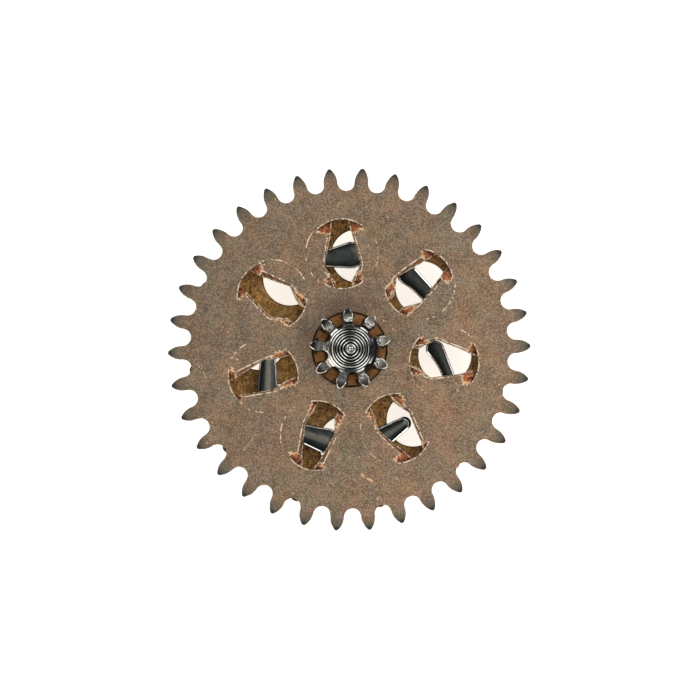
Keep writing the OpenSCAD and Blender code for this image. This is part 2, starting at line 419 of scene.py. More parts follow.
# %% Work out a toothed outline
def turned(points, angles):
    """Points on the plane turned about the axis, one copy for each angle: x becomes x times the
    cosine less y times the sine, and y becomes x times the sine and y times the cosine."""
    angles = np.reshape(angles, (-1, 1))
    x, y = points[:, 0], points[:, 1]
    cos, sin = np.cos(angles), np.sin(angles)
    return np.stack([cos * x - sin * y, sin * x + cos * y], axis=-1).reshape(-1, 2)


def round_gap(half_pitch, gap_at, gap_r, steps):
    """Half of the gap before a tooth that points along x: an arc of gap_r about a point at gap_at."""
    sweep = np.linspace(math.pi - half_pitch, math.pi / 2, steps, endpoint=False)
    return polar(gap_at, -half_pitch) + polar(gap_r, sweep)


def flank(from_x, wide_at, half, tip_r, tip_half, steps):
    """Lower flank of a tooth that points along x, from from_x to its tip. Its half width falls
    along an arc that runs straight outward at wide_at, with half there and tip_half at the tip."""
    fall, rise = half - tip_half, tip_r - wide_at
    arc_r = (rise ** 2 + fall ** 2) / (2 * fall)
    x = np.linspace(from_x, math.sqrt(tip_r ** 2 - tip_half ** 2), steps, endpoint=False)
    return np.stack([x, arc_r - half - np.sqrt(arc_r ** 2 - (x - wide_at) ** 2)], axis=-1)


def all_teeth(lower, tip_r, tip_half, teeth, first):
    """A closed outline, anticlockwise from the gap before the first tooth, from the lower half of
    a tooth that points along x: it is mirrored across its tip and turned to each tooth's place."""
    lower = np.concatenate(lower)
    tip_x = math.sqrt(tip_r ** 2 - tip_half ** 2)
    tip = [(tip_x, -tip_half), (tip_r, 0.0), (tip_x, tip_half)]
    tooth = np.concatenate([lower, tip, (lower * (1, -1))[:0:-1]])
    return turned(tooth, first + np.arange(teeth) * 2 * math.pi / teeth)


def toothed_outline(teeth, first, tip_r, root_r, gap_r, tip_half, steps):
    """Outline of a wheel whose teeth close from round gaps to blunt tips; steps holds the points
    of half a gap and of a flank."""
    half_pitch = math.pi / teeth
    gap_at = root_r + gap_r
    lower = [round_gap(half_pitch, gap_at, gap_r, steps[0]),
             flank(gap_at * math.cos(half_pitch), gap_at, gap_at * half_pitch - gap_r, tip_r, tip_half,
                   steps[1])]
    return all_teeth(lower, tip_r, tip_half, teeth, first)


# %% Roll the edges of a toothed rim
ROLL = 0.010
NICK_WAVES = (150, 400)
NICK_SHARE = 0.7


def outward(outline):
    """Unit normals of a closed anticlockwise outline: its central differences turned by -90 degrees."""
    along = np.roll(outline, -1, axis=0) - np.roll(outline, 1, axis=0)
    normal = np.stack([along[:, 1], -along[:, 0]], axis=-1)
    return normal / np.linalg.norm(normal, axis=1, keepdims=True)


def near_turn(angles, middle):
    """How far angles lie from a middle one the shorter way round: their difference is laid on
    the unit circle, which takes whole turns out of it."""
    return np.abs(np.angle(np.exp(1j * (angles - middle))))


def toothed_rim(outline, circle_r, start, low, top, wear_seed):
    """Strip from a circle of circle_r on the underside, out round the teeth, and back on top."""
    turns = start + np.arange(len(outline)) * 2 * math.pi / len(outline)
    circle = polar(circle_r, turns)
    angles = np.arctan2(outline[:, 1], outline[:, 0])
    outline = np.roll(outline, -int(near_turn(angles, start).argmin()), axis=0)
    normal = outward(outline)
    nicks = smooth(ripple(turns, *NICK_WAVES, wear_seed), 0.2, 2.2)
    outline = outline - normal * (ROLL * NICK_SHARE * nicks)[:, None]
    rolled = normal * ROLL
    rows = [(circle, low), ((circle + outline) / 2, low), (outline - rolled, low), (outline, low + ROLL),
            (outline, (low + top) / 2), (outline, top - ROLL), (outline - rolled * 0.35, top - ROLL * 0.35),
            (outline - rolled, top)]
    rows += [(outline + (circle - outline) * share, top) for share in (0.25, 0.5, 0.75)]
    return grid([(lifted(plane, height),) for plane, height in (*rows, (circle, top))])


# %% [markdown]
# ## Sectors round the pockets and holes
# A wheel with openings is cut into equal sectors, one round each opening. A sector's border
# runs along the rim circle, down one side, along the bore circle and back. Rays from the
# opening's centre to the border points then carry all its rows, so that the web, the window,
# the walls and the underside are one grid with the same columns.

# %% Walk round the border of a sector
def sector_border(turn, count, outer_r, inner_r, steps):
    """Border points of the sector about the direction turn, anticlockwise from its outer right
    corner: steps holds the points along the outer arc, along each side and along the inner arc."""
    half = math.pi / count
    arc = np.linspace(-half, half, steps[0], endpoint=False)
    down = np.linspace(outer_r, inner_r, steps[1], endpoint=False)
    back = np.linspace(half, -half, steps[2], endpoint=False)
    up = np.linspace(inner_r, outer_r, steps[1], endpoint=False)
    return np.concatenate([polar(outer_r, turn + arc), polar(down, turn + half),
                           polar(inner_r, turn + back), polar(up, turn - half)])


def seen_from(centre, turn, plane):
    """Directions and distances of points seen from a centre that lies in the direction turn.
    Direction 0 points outward along the wheel's radius, and rises anticlockwise."""
    offset = plane - centre
    angle = np.arctan2(offset[:, 1], offset[:, 0]) - turn
    return np.angle(np.exp(1j * angle)), np.linalg.norm(offset, axis=1)


# %% [markdown]
# ## Shared finishes
# Several finishes need the same small effects: mottling, specks, scratches, edges that are worn
# or carry a painted highlight, strokes and fibres. Each is a node group with named sockets, built
# once and placed in every material with its own values. A group only gives a mask, and the shader stays
# outside.

# %% Make a node group and place it
def new_group(name, formula, **inputs):
    """A node group with one output, the mask that the formula makes from its input sockets. An
    input is a number, a vector, or None for a place."""
    tree = bpy.data.node_groups.new(name, "ShaderNodeTree")
    for socket_name, value in inputs.items():
        kind = "NodeSocketFloat" if isinstance(value, float) else "NodeSocketVector"
        socket = tree.interface.new_socket(socket_name, in_out="INPUT", socket_type=kind)
        if value is not None:
            socket.default_value = value
    tree.interface.new_socket("Mask", in_out="OUTPUT", socket_type="NodeSocketFloat")
    entry = tree.nodes.new("NodeGroupInput").outputs
    leave = tree.nodes.new("NodeGroupOutput").inputs
    tree.links.new(formula(entry), leave["Mask"])
    print("group", name, "with", ", ".join(inputs))
    return tree


def placed(group, **inputs):
    """The mask of a group that is set into the tree of its inputs, which are given by name."""
    return joined("Group", inputs, node_tree=group).outputs[0]


def shift(place, offset):
    """A place moved by an offset, so that two patterns of one kind don't coincide."""
    return vector("ADD", place, offset) if offset else place


def flattened(place):
    """A place brought down to the wheel's plane."""
    return vector("MULTIPLY", place, (1.0, 1.0, 0.0))


def flat_radius(place):
    """Distance from the axis."""
    return vector("LENGTH", flattened(place), output="Value")


# %% Mottling, in patches of a given size
def mottle_mask(entry):
    """Patches of noise: 1 in the middle of a patch, 0 between them, sharper with Contrast."""
    patches = noise(entry["Place"], maths("DIVIDE", 1.0, entry["Size"]), entry["Detail"])
    return ramp(patches, minus(0.5, entry["Contrast"]), plus(0.5, entry["Contrast"]))


MOTTLE = new_group("mottle", mottle_mask, Place=None, Size=0.5, Detail=3.0, Contrast=0.2)


def mottle(place, size, detail, contrast, offset=None):
    """The mottling at a place, moved by an offset."""
    return placed(MOTTLE, Place=shift(place, offset), Size=size, Detail=detail, Contrast=contrast)


# %% Specks, scattered dots
def specks_mask(entry):
    """Dots in the cells of a Voronoi pattern: only the Share of cells with the lowest random
    value has one, and Radius is a share of the cell's size."""
    scale = maths("DIVIDE", 1.0, entry["Size"])
    cells = joined("TexVoronoi", {"Vector": entry["Place"], "Scale": scale}).outputs
    chance = joined("SeparateColor", {0: cells["Color"]}).outputs[0]
    chosen = maths("LESS_THAN", chance, entry["Share"])
    return times(ramp(cells["Distance"], entry["Radius"], times(entry["Radius"], 0.5)), chosen)


SPECKS = new_group("specks", specks_mask, Place=None, Size=0.1, Radius=0.25, Share=0.3)


def specks(place, size, radius, share, offset=None):
    """The specks at a place, moved by an offset."""
    return placed(SPECKS, Place=shift(place, offset), Size=size, Radius=radius, Share=share)


# %% Scratches, thin straight lines
def scratches_mask(entry):
    """Noise drawn out along X until its peaks are lines, turned by Turn degrees; Length and
    Width are in millimetres, and a higher Rarity leaves fewer of them."""
    angle = maths("RADIANS", entry["Turn"])
    turned = joined("VectorRotate", {"Vector": entry["Place"], "Angle": angle}, rotation_type="Z_AXIS")
    along, across, height = parts_of(turned.outputs[0])
    along = maths("DIVIDE", along, entry["Length"])
    across = maths("DIVIDE", across, entry["Width"])
    lines = noise(joined("CombineXYZ", {0: along, 1: across, 2: height}).outputs[0], 1.0, 0.0)
    return ramp(lines, entry["Rarity"], plus(entry["Rarity"], 0.05))


SCRATCHES = new_group("scratches", scratches_mask, Place=None, Turn=0.0, Length=0.6, Width=0.012,
                      Rarity=0.7)
RARITY = 0.75


def scratches(place, turn, length, width, offset=None):
    """The scratches at a place, moved by an offset."""
    return placed(SCRATCHES, Place=shift(place, offset), Turn=turn, Length=length, Width=width,
                  Rarity=RARITY)


# %% Worn edges and painted highlights, bright where a mask runs along an edge
def wear_and_highlight_mask(entry):
    """An edge mask broken up by noise: whole where Breaks is 0, in dashes as it nears 1."""
    breaks = noise(entry["Place"], maths("DIVIDE", 1.0, entry["Size"]), 2.0)
    low = plus(times(entry["Breaks"], 0.55), 0.04)
    return times(ramp(entry["Edge"], 0.25, 0.8), ramp(breaks, low, plus(low, 0.08)))


WEAR_AND_HIGHLIGHT = new_group("wear_and_highlight", wear_and_highlight_mask, Edge=0.0, Place=None, Size=0.05, Breaks=0.4)


def wear_and_highlight(place, edge, size, breaks):
    """An edge mask broken up at a place."""
    return placed(WEAR_AND_HIGHLIGHT, Edge=edge, Place=place, Size=size, Breaks=breaks)


# %% Strokes, single marks from one point to another
def stroke_mask(entry):
    """A mark along a straight line, 1 within Width of it. The nearest point of the line is the
    place's shadow on it: their dot product over the line's, kept between its ends."""
    away = vector("SUBTRACT", flattened(entry["Place"]), entry["From"])
    along = vector("SUBTRACT", entry["To"], entry["From"])
    shadow = vector("DOT_PRODUCT", away, along, "Value")
    share = maths("DIVIDE", shadow, vector("DOT_PRODUCT", along, along, "Value"), clamp=True)
    gap = vector("DISTANCE", away, scaled(along, share), "Value")
    return ramp(gap, entry["Width"], times(entry["Width"], 0.4))


STROKE = new_group("stroke", stroke_mask, Place=None, From=(0.0, 0.0, 0.0), To=(1.0, 0.0, 0.0), Width=0.02)

# %% Fibres, noise drawn out along the wheel's radius
FIBRES_AT = 1.6


def fibres_mask(entry):
    """Streaks that run outward from the axis: noise over the turn, which is measured as an arc
    at FIBRES_AT, and over the radius; Width and Length are in millimetres."""
    parts = parts_of(entry["Place"])
    turn = maths("ARCTAN2", parts[1], parts[0])
    arc = maths("DIVIDE", times(turn, FIBRES_AT), entry["Width"])
    out = maths("DIVIDE", flat_radius(entry["Place"]), entry["Length"])
    return ramp(noise(joined("CombineXYZ", {0: arc, 1: out}).outputs[0], 1.0, 2.0), 0.36, 0.64)


FIBRES = new_group("fibres", fibres_mask, Place=None, Width=0.02, Length=0.15)


def fibres(place, width, length, offset=None):
    """The fibres at a place, moved by an offset."""
    return placed(FIBRES, Place=shift(place, offset), Width=width, Length=length)


# %% [markdown]
# ## The look of a metal
# Every metal here is one Principled shader. Its colour, roughness and height change over the
# surface, and its place comes from Object coordinates in millimetres, which stay put on a
# piece whichever way it moves. A Bump node turns the height into fine relief.

# %% Start a metal, tone it and close it
def metal(name):
    """A new material, its Principled shader, and the place in millimetres."""
    material, tree = new_material(name)
    shader = step(tree, "BsdfPrincipled")
    joined("OutputMaterial", {"Surface": shader.outputs[0]})
    print("material", name)
    return material, shader, scaled(step(tree, "TexCoord").outputs["Object"], 1 / MM)


def facing(place, degrees, low, high):
    """How far a place lies on the side of the given direction from the axis, from 0 to 1."""
    angle = math.radians(degrees)
    way = (math.cos(angle), math.sin(angle), 0.0)
    return ramp(vector("DOT_PRODUCT", vector("NORMALIZE", flattened(place)), way, "Value"), low, high)


def tinted(colour, shade):
    """A colour made lighter or darker by a factor."""
    grey = step(colour.id_data, "CombineColor", {0: shade, 1: shade, 2: shade}).outputs[0]
    return layer(1.0, colour, grey, "MULTIPLY")


def toned(colour, mask, factor, without=1.0):
    """A colour made lighter or darker by a factor where a mask is 1, and by another where it is 0."""
    return tinted(colour, blend(mask, without, factor))


def mask_of(place, name):
    """A mask of the mesh as a value, in the tree to which the place belongs."""
    return step(place.id_data, "Attribute", attribute_name=name).outputs["Fac"]


def finish(shader, colour, roughness, metallic, height, relief):
    """Feeds the shader. Relief is how high the bumps stand, in millimetres, where height is 1."""
    bump = joined("Bump", {"Height": height, "Distance": relief * MM, "Strength": 1.0})
    feed(shader, {"Base Color": colour, "Roughness": roughness, "Metallic": metallic,
                  "Normal": bump.outputs[0]})


# %% [markdown]
# ## Patinated bronze
# The upper wheel has dulled to a brown that drifts between olive, pink and orange in soft
# patches, with a fine grain, pale specks and hair-thin scratches. Its tooth tips are darkened
# grey-green and near-black at their ends as painted shade. Where the web was torn out of the
# windows, bare copper shows: orange, dark red with painted shade in the hollows, and a painted
# cream highlight along every burred edge.

# %% Lay the brown patina
# Patches of the face, wide to small: size, detail, contrast, offset, share and colour
PATCHES = [
    (0.50, 4.0, 0.14, (7, 3, 0), 0.72, (153, 113, 71)), (0.34, 4.0, 0.14, (6, 6, 1), 0.46, (117, 110, 91)),
    (0.15, 3.0, 0.15, (2, 9, 0), 0.30, (112, 113, 78)), (0.11, 3.0, 0.15, (5, 1, 4), 0.30, (154, 107, 97)),
]


def patina(place, radius):
    """The brown of the face in layers, from wide drifts to grain, with its grain and its clouds."""
    cloud = mottle(place, 0.24, 5.0, 0.22, (1, 6, 2))
    grain = mottle(place, 0.021, 2.0, 0.20)
    colour = layer(mottle(place, 1.1, 2.0, 0.14), paint(120, 109, 88), paint(136, 106, 79))
    for size, detail, contrast, offset, share, levels in PATCHES:
        colour = coat(colour, mottle(place, size, detail, contrast, offset), share, *levels)
    colour = toned(colour, cloud, 1.17, without=0.83)
    blotch = minus(mottle(place, 0.42, 3.0, 0.14, (3, 8, 5)), 0.5)
    blotch = times(blotch, ramp(radius, 2.25, 1.95))
    colour = tinted(colour, plus(times(blotch, 0.21), 1.01))
    colour = coat(colour, ramp(grain, 0.5, 1.0), 0.41, 200, 180, 155)
    colour = coat(colour, ramp(grain, 0.5, 0.0), 0.50, 70, 52, 32)
    x, y, _ = parts_of(place)
    colour = tinted(colour, minus(plus(times(x, 0.038), 1.0), times(y, 0.014)))
    # Near the pinion: painted shade towards 125 degrees and painted light towards 260 degrees
    near = ramp(radius, 1.25, 0.75)
    colour = coat(colour, times(near, facing(place, 125.0, 0.0, 0.8)), 0.26, 92, 82, 74)
    colour = toned(colour, times(near, facing(place, 260.0, -0.5, 0.7)), 1.32)
    return colour, grain, cloud


print("patina of", len(PATCHES), "kinds of patch")

# %% Mark the face
# Scuffs on the wheel's face: from, to, half width and strength
SCUFFS = [
    ((0.213, -2.145), (0.384, -2.248), 0.034, 1.0), ((-1.926, -0.157), (-1.914, -0.175), 0.030, 0.9),
    ((-2.352, -1.234), (-2.342, -1.250), 0.026, 0.7), ((-2.440, -1.592), (-2.428, -1.604), 0.026, 0.7),
    ((0.575, 0.497), (0.585, 0.490), 0.024, 0.9), ((0.738, 0.352), (0.748, 0.346), 0.020, 0.8),
    ((1.850, -0.688), (1.858, -0.700), 0.026, 0.8), ((0.474, -2.548), (0.482, -2.560), 0.026, 0.8),
    ((-2.578, -0.283), (-2.439, -0.488), 0.013, 0.6), ((-1.819, -1.735), (-1.597, -1.445), 0.013, 0.6),
    ((1.161, 2.467), (1.340, 2.364), 0.012, 0.5), ((-0.265, 2.296), (-0.180, 2.518), 0.012, 0.5),
]
SCRATCH_TURNS = (78.0, 131.0, 8.0)


def marked(place, colour):
    """The brown with specks, glints, hair-thin scratches and scuffs, and the masks of these two."""
    colour = coat(colour, specks(place, 0.070, 0.26, 0.20), 0.55, 206, 166, 128)
    colour = coat(colour, specks(place, 0.09, 0.28, 0.34, (4, 4, 0)), 0.45, 82, 70, 56)
    colour = coat(colour, specks(place, 0.16, 0.12, 0.09, (8, 2, 0)), 0.8, 240, 205, 165)
    lines = scratches(place, 32.0, 0.9, 0.02)
    for turn in SCRATCH_TURNS:
        lines = larger(lines, scratches(place, turn, 0.6, 0.016, (turn, 1, 0)))
    colour = coat(colour, lines, 0.42, 196, 166, 132)
    scuffs = 0.0
    for start, end, width, strength in SCUFFS:
        mark = placed(STROKE, Place=place, From=(*start, 0.0), To=(*end, 0.0), Width=width)
        scuffs = larger(scuffs, times(mark, strength))
    scuffs = wear_and_highlight(place, scuffs, 0.05, 0.68)
    return layer(scuffs, colour, paint(236, 188, 146)), lines, scuffs


print(len(SCUFFS), "scuffs")

# %% Bare the copper
def bare_copper(place, radius, depth):
    """The copper of the hollows in fibres and pale patches of painted highlight, with painted
    shade further down and a painted shadow by the pocket's rim, darker near the axis; and the relief of
    both."""
    strands = fibres(place, 0.028, 0.16)
    highlight_flakes = mottle(place, 0.055, 4.0, 0.06, (3, 3, 3))
    copper = layer(strands, paint(246, 140, 80), paint(104, 38, 20))
    copper = coat(copper, highlight_flakes, 0.60, 252, 190, 130)
    copper = coat(copper, ramp(depth, 0.020, 0.058), 0.60, 104, 44, 22)
    copper = coat(copper, mask_of(place, "brink"), 0.85, 70, 26, 14)
    return tinted(copper, ramp(radius, 1.38, 1.26, 1.0, 0.80)), plus(strands, highlight_flakes)


def cut_face(place, radius):
    """The leaning face of a cut in dark and pale threads, the copper's curls with painted shade between them
    and painted highlights on them, with more contrast at its inner end.
    """
    threads = fibres(place, 0.026, 0.20, (0, 0, 1))
    side = layer(threads, paint(60, 32, 18), paint(176, 122, 80))
    inner = layer(maths("POWER", threads, 1.7), paint(64, 28, 15), paint(255, 222, 174))
    return layer(ramp(radius, 1.52, 1.36, 0.0, 0.85), side, inner)


# %% Mix the patinated bronze
def patinated_bronze():
    """Brown patina with its marks, copper by the mesh's tear mask, bright lines of painted highlight by its
    edges, and painted shade on the tooth tips and in the depths.
    """
    material, shader, place = metal("patinated_bronze")
    radius = flat_radius(place)
    depth = minus(UPPER_TOP, parts_of(place)[2])
    colour, grain, cloud = patina(place, radius)
    colour, lines, scuffs = marked(place, colour)
    # Painted shade on the tooth tips: grey-green, and near-black at their very ends
    colour = coat(colour, ramp(radius, 2.80, 3.05), 0.85, 88, 84, 72)
    colour = coat(colour, ramp(radius, 3.00, 3.07), 0.85, 42, 38, 34)
    # Painted shade on the walls and the underside, darker with depth below the face
    colour = coat(colour, ramp(depth, 0.02, 0.06), 0.75, 104, 74, 46)

    inside = mask_of(place, "tear")
    tear = plus(inside, times(minus(noise(place, 34.0, 3.0), 0.5), 0.9))
    torn = times(ramp(tear, 0.46, 0.54), ramp(inside, 0.02, 0.2))
    copper, rough = bare_copper(place, radius, depth)
    colour = layer(torn, colour, copper)
    # A painted cream highlight along the burred border of each tear
    colour = coat(colour, times(torn, ramp(tear, 0.95, 0.68)), 0.9, 255, 220, 180)
    colour = layer(times(mask_of(place, "face"), 0.92), colour, cut_face(place, radius))
    colour = coat(colour, wear_and_highlight(place, mask_of(place, "witness"), 0.07, 0.80), 0.95, 246, 216, 184)
    # Painted highlight: a bright line along the cuts, the pocket rims and the bore, by the mesh's edge mask
    rim = wear_and_highlight(place, mask_of(place, "edge"), 0.045, 0.72)
    colour = layer(rim, colour, paint(255, 232, 202))

    bare = larger(larger(torn, rim), scuffs)
    height = minus(plus(times(grain, 0.6), times(cloud, 0.4)), times(lines, 0.6))
    height = plus(height, times(times(rough, torn), 1.5))
    finish(shader, colour, blend(bare, 0.58, 0.38), blend(bare, 0.25, 0.55), height, 0.005)
    return material


PATINATED_BRONZE = patinated_bronze()

# %% [markdown]
# ## Old brass and the bush
# The lower wheel keeps more of its gold, mottled brown with dark flecks, and shows only in
# the shade of the pockets. The bush is turned bronze, orange-brown, with fine tool rings.

# %% Mix the old brass and the bush bronze
LEAVES = 9
FIRST_LEAF = 94.2
LEAF_TURN = math.radians(FIRST_LEAF)


def old_brass():
    """Gold-brown mottling with dark flecks, painted light and shade near the axis, and painted shade on the
    teeth and in the holes' chamfers.
    """
    material, shader, place = metal("old_brass")
    radius = flat_radius(place)
    small = mottle(place, 0.085, 4.0, 0.10, (5, 2, 0))
    grain = mottle(place, 0.030, 2.0, 0.16)
    colour = layer(mottle(place, 0.30, 3.0, 0.2), paint(190, 146, 82), paint(216, 164, 92))
    colour = coat(colour, small, 0.55, 128, 84, 42)
    colour = coat(colour, specks(place, 0.075, 0.42, 0.55), 0.72, 78, 48, 24)
    colour = toned(colour, grain, 1.28, without=0.66)
    # Near the axis: painted light towards 197 degrees and painted shade towards 145 degrees
    inward = ramp(radius, 1.65, 1.30)
    colour = toned(colour, times(inward, facing(place, 197.0, 0.90, 0.97)), 1.34)
    colour = toned(colour, times(inward, facing(place, 145.0, 0.92, 0.98)), 0.86)
    # Painted shade on the teeth, which lie in the shadow of the upper wheel
    colour = coat(colour, ramp(radius, 2.60, 2.70), 0.9, 40, 32, 24)
    # Painted shade on the holes' chamfers and walls, by the mesh's chamfer mask
    colour = coat(colour, mask_of(place, "chamfer"), 0.7, 88, 62, 34)
    height = plus(times(grain, 0.5), times(small, 0.8))
    finish(shader, colour, blend(small, 0.42, 0.58), 0.45, height, 0.004)
    return material


def bush_bronze():
    """Orange-brown, with tool rings, painted shadow of the pinion's leaves near the pinion and on its right,
    and a dark line of painted shade in the gap round it.
    """
    material, shader, place = metal("bush_bronze")
    radius = flat_radius(place)
    rings = noise(joined("CombineXYZ", {0: radius}).outputs[0], 55.0, 2.0)
    dark_patch = mottle(place, 0.10, 4.0, 0.16)
    colour = layer(dark_patch, paint(176, 122, 68), paint(154, 98, 46))
    colour = coat(colour, ramp(rings, 0.4, 0.7), 0.3, 198, 146, 88)
    colour = toned(colour, mottle(place, 0.026, 1.0, 0.2), 1.12, without=0.84)
    x, y, _ = parts_of(place)
    # Painted shadow: darker near the pinion and beside each leaf, more so on the right, and painted shade in
    # the gap at the outer edge
    leaf_wave = minus(times(maths("ARCTAN2", y, x), float(LEAVES)), LEAVES * LEAF_TURN)
    leaf_wave = plus(maths("COSINE", leaf_wave), blend(dark_patch, -0.3, 0.3))
    painted_dark = larger(ramp(radius, 0.475, 0.42), ramp(leaf_wave, -0.50, -0.05))
    right = times(ramp(radius, 0.56, 0.46), facing(place, -25.0, 0.45, 0.9))
    painted_dark = times(larger(painted_dark, right), 0.94)
    painted_dark = larger(painted_dark, ramp(radius, 0.600, 0.618, 0.0, 0.85))
    colour = tinted(layer(painted_dark, colour, paint(34, 18, 12)), 0.96)
    finish(shader, colour, 0.45, 0.5, rings, 0.004)
    return material


OLD_BRASS = old_brass()
BUSH_BRONZE = bush_bronze()

# %% [markdown]
# ## The steels
# The arbor is polished steel: mirror rings, and leaf ends with a dull grained flat. The pawls
# are polished so well that their tops mirror the dark overhead, and their bevelled edges carry
# painted highlights. Where the flat steps and bevels of the turning mirror the dark overhead,
# painted shade darkens them by a mask of the mesh, and painted highlights run along the edges.

# %% Mix the steels
RIGHT_LEAF = FIRST_LEAF - 2 * 360 / LEAVES


def polished_steel():
    """Grey steel, rough where the mesh's grained mask says, with painted shade where a mask of the
    mesh says and on the leaf bevels, painted light and shade on the hollow by its direction,
    painted highlights along the edges, and grained flats lighter on one leaf and darker on the leaf to its
    right and towards the lower left."""
    material, shader, place = metal("polished_steel")
    radius = flat_radius(place)
    grained = mask_of(place, "grained")
    cloud = mottle(place, 0.05, 4.0, 0.14)
    grain = mottle(place, 0.032, 3.0, 0.11)
    dull = layer(grain, paint(78, 77, 70), paint(250, 247, 234))
    dull = toned(dull, facing(place, FIRST_LEAF, 0.93, 0.985), 1.32)
    dull = toned(dull, facing(place, RIGHT_LEAF, 0.93, 0.985), 0.66)
    dull = coat(dull, facing(place, 214.0, -0.2, 0.75), 0.82, 78, 80, 80)
    colour = layer(cloud, paint(208, 208, 201), paint(172, 172, 165))
    colour = layer(grained, colour, dull)
    # Painted light and shade by direction: a painted highlight on the hollow towards 204 degrees, painted
    # shade on it towards 10 and on its step towards 35, painted light on the right leaf's bevel and painted
    # shade on the bevels towards 134
    collar = times(ramp(radius, 0.345, 0.36), ramp(radius, 0.475, 0.455))
    collar_highlight = times(collar, facing(place, 204.0, 0.80, 0.97))
    dark_patch = times(collar, facing(place, 10.0, 0.55, 0.95))
    ledge_shade = times(ramp(radius, 0.472, 0.462), ramp(radius, 0.418, 0.430))
    ledge_shade = times(ledge_shade, facing(place, 35.0, 0.10, 0.45))
    leaf_ends = ramp(radius, 0.525, 0.540)
    right_bevel_light = times(leaf_ends, facing(place, RIGHT_LEAF, -0.1, 0.8))
    # Painted shade: the dark that flat steps and bevels mirror, by the mesh's mask, darkest on the leaf ends
    grime = times(larger(mask_of(place, "grime"), ledge_shade), blend(right_bevel_light, 0.98, 0.88))
    grime = times(grime, minus(1.0, times(collar_highlight, 0.8)))
    bevel = times(ramp(radius, 0.525, 0.535), facing(place, 134.0, 0.2, 0.8))
    painted_dark = toned(layer(leaf_ends, paint(20, 22, 21), paint(60, 52, 45)), bevel, 0.30)
    colour = layer(grime, colour, painted_dark)
    colour = layer(collar_highlight, colour, paint(240, 232, 212))
    colour = coat(colour, dark_patch, 0.8, 56, 46, 66)
    # Painted highlight along the leaf edges and on the lip
    edge = wear_and_highlight(place, ramp(mask_of(place, "edge"), 0.55, 1.0), 0.08, 0.68)
    colour = layer(edge, colour, paint(252, 248, 236))
    roughness = larger(blend(larger(grained, edge), 0.12, 0.46), times(leaf_ends, 0.34))
    height = times(plus(grain, cloud), blend(grained, 0.5, 2.5))
    finish(shader, colour, roughness, 0.96, height, 0.0004)
    return material


def pawl_steel():
    """Near-black mirror tops with faint clouds and a few specks, a painted highlight along the middle,
    painted highlights on the bevels, and painted shade on the sides and round the top's edge.
    """
    material, shader, place = metal("pawl_steel")
    cloud = mottle(place, 0.16, 3.0, 0.2)
    colour = layer(cloud, paint(85, 91, 89), paint(112, 116, 109))
    colour = tinted(colour, mask_of(place, "tone"))
    colour = coat(colour, mask_of(place, "streak"), 0.8, 226, 220, 200)
    colour = coat(colour, specks(place, 0.07, 0.2, 0.2), 0.4, 165, 165, 160)
    colour = layer(mask_of(place, "bevel"), colour, paint(252, 252, 250))
    colour = layer(mask_of(place, "under"), colour, paint(26, 28, 30))
    finish(shader, colour, 0.16, 0.95, cloud, 0.001)
    return material


POLISHED_STEEL = polished_steel()
PAWL_STEEL = pawl_steel()
print("materials", [material.name for material in bpy.data.materials])

# %% [markdown]
# ## The upper wheel and its windows
# Under each window a round pocket is sunk from below, which leaves a thin web. The windows
# were cut by hand: no two are alike, each cut leans, and at the four corners the web has
# torn into a hollow that slopes down from the pocket's rim. So every window has its own half
# widths, measured on the photograph at fixed places outward from the pocket's centre, at the
# top edge of the cut and at the lower edge that light comes through.

# %% Note how each window was cut
WHEEL_TEETH = 34
TOOTH_TURN = math.radians(1.14)
TIP_R, ROOT_R, GAP_R, TIP_HALF = 3.10, 2.716, 0.15, 0.022
BORE_R = 0.646
POCKET_COUNT = 7
POCKET_RING_R = 1.602
FIRST_POCKET = math.radians(145.7)
POCKET_STEP = -2 * math.pi / POCKET_COUNT
RIM_R = 0.588
WEB = 0.09
EAR_DEPTH = 0.06
RIM_CIRCLE_R = 2.32
BORE_CIRCLE_R = 0.658
WINDOW_SEED = 40

# Places outward from the pocket's centre where the half widths were measured
TOP_AT = (0.376, -0.154, -0.342)
LOW_AT = (0.512, 0.376, -0.154, -0.427)


def cut_window(top_left, top_right, low_left, low_right, outer_ears, inner_ears, rim_shift, witness):
    """One window: half widths at TOP_AT and LOW_AT, how far its hollows reach to each side,
    how far its rim lies off the pocket's place, and arcs of the ring that the tool left, each
    with the direction of its middle, its half length in degrees and its strength."""
    return {"top": (top_left, top_right), "low": (low_left, low_right), "outer_ears": outer_ears,
            "inner_ears": inner_ears, "rim_shift": rim_shift, "witness": witness}


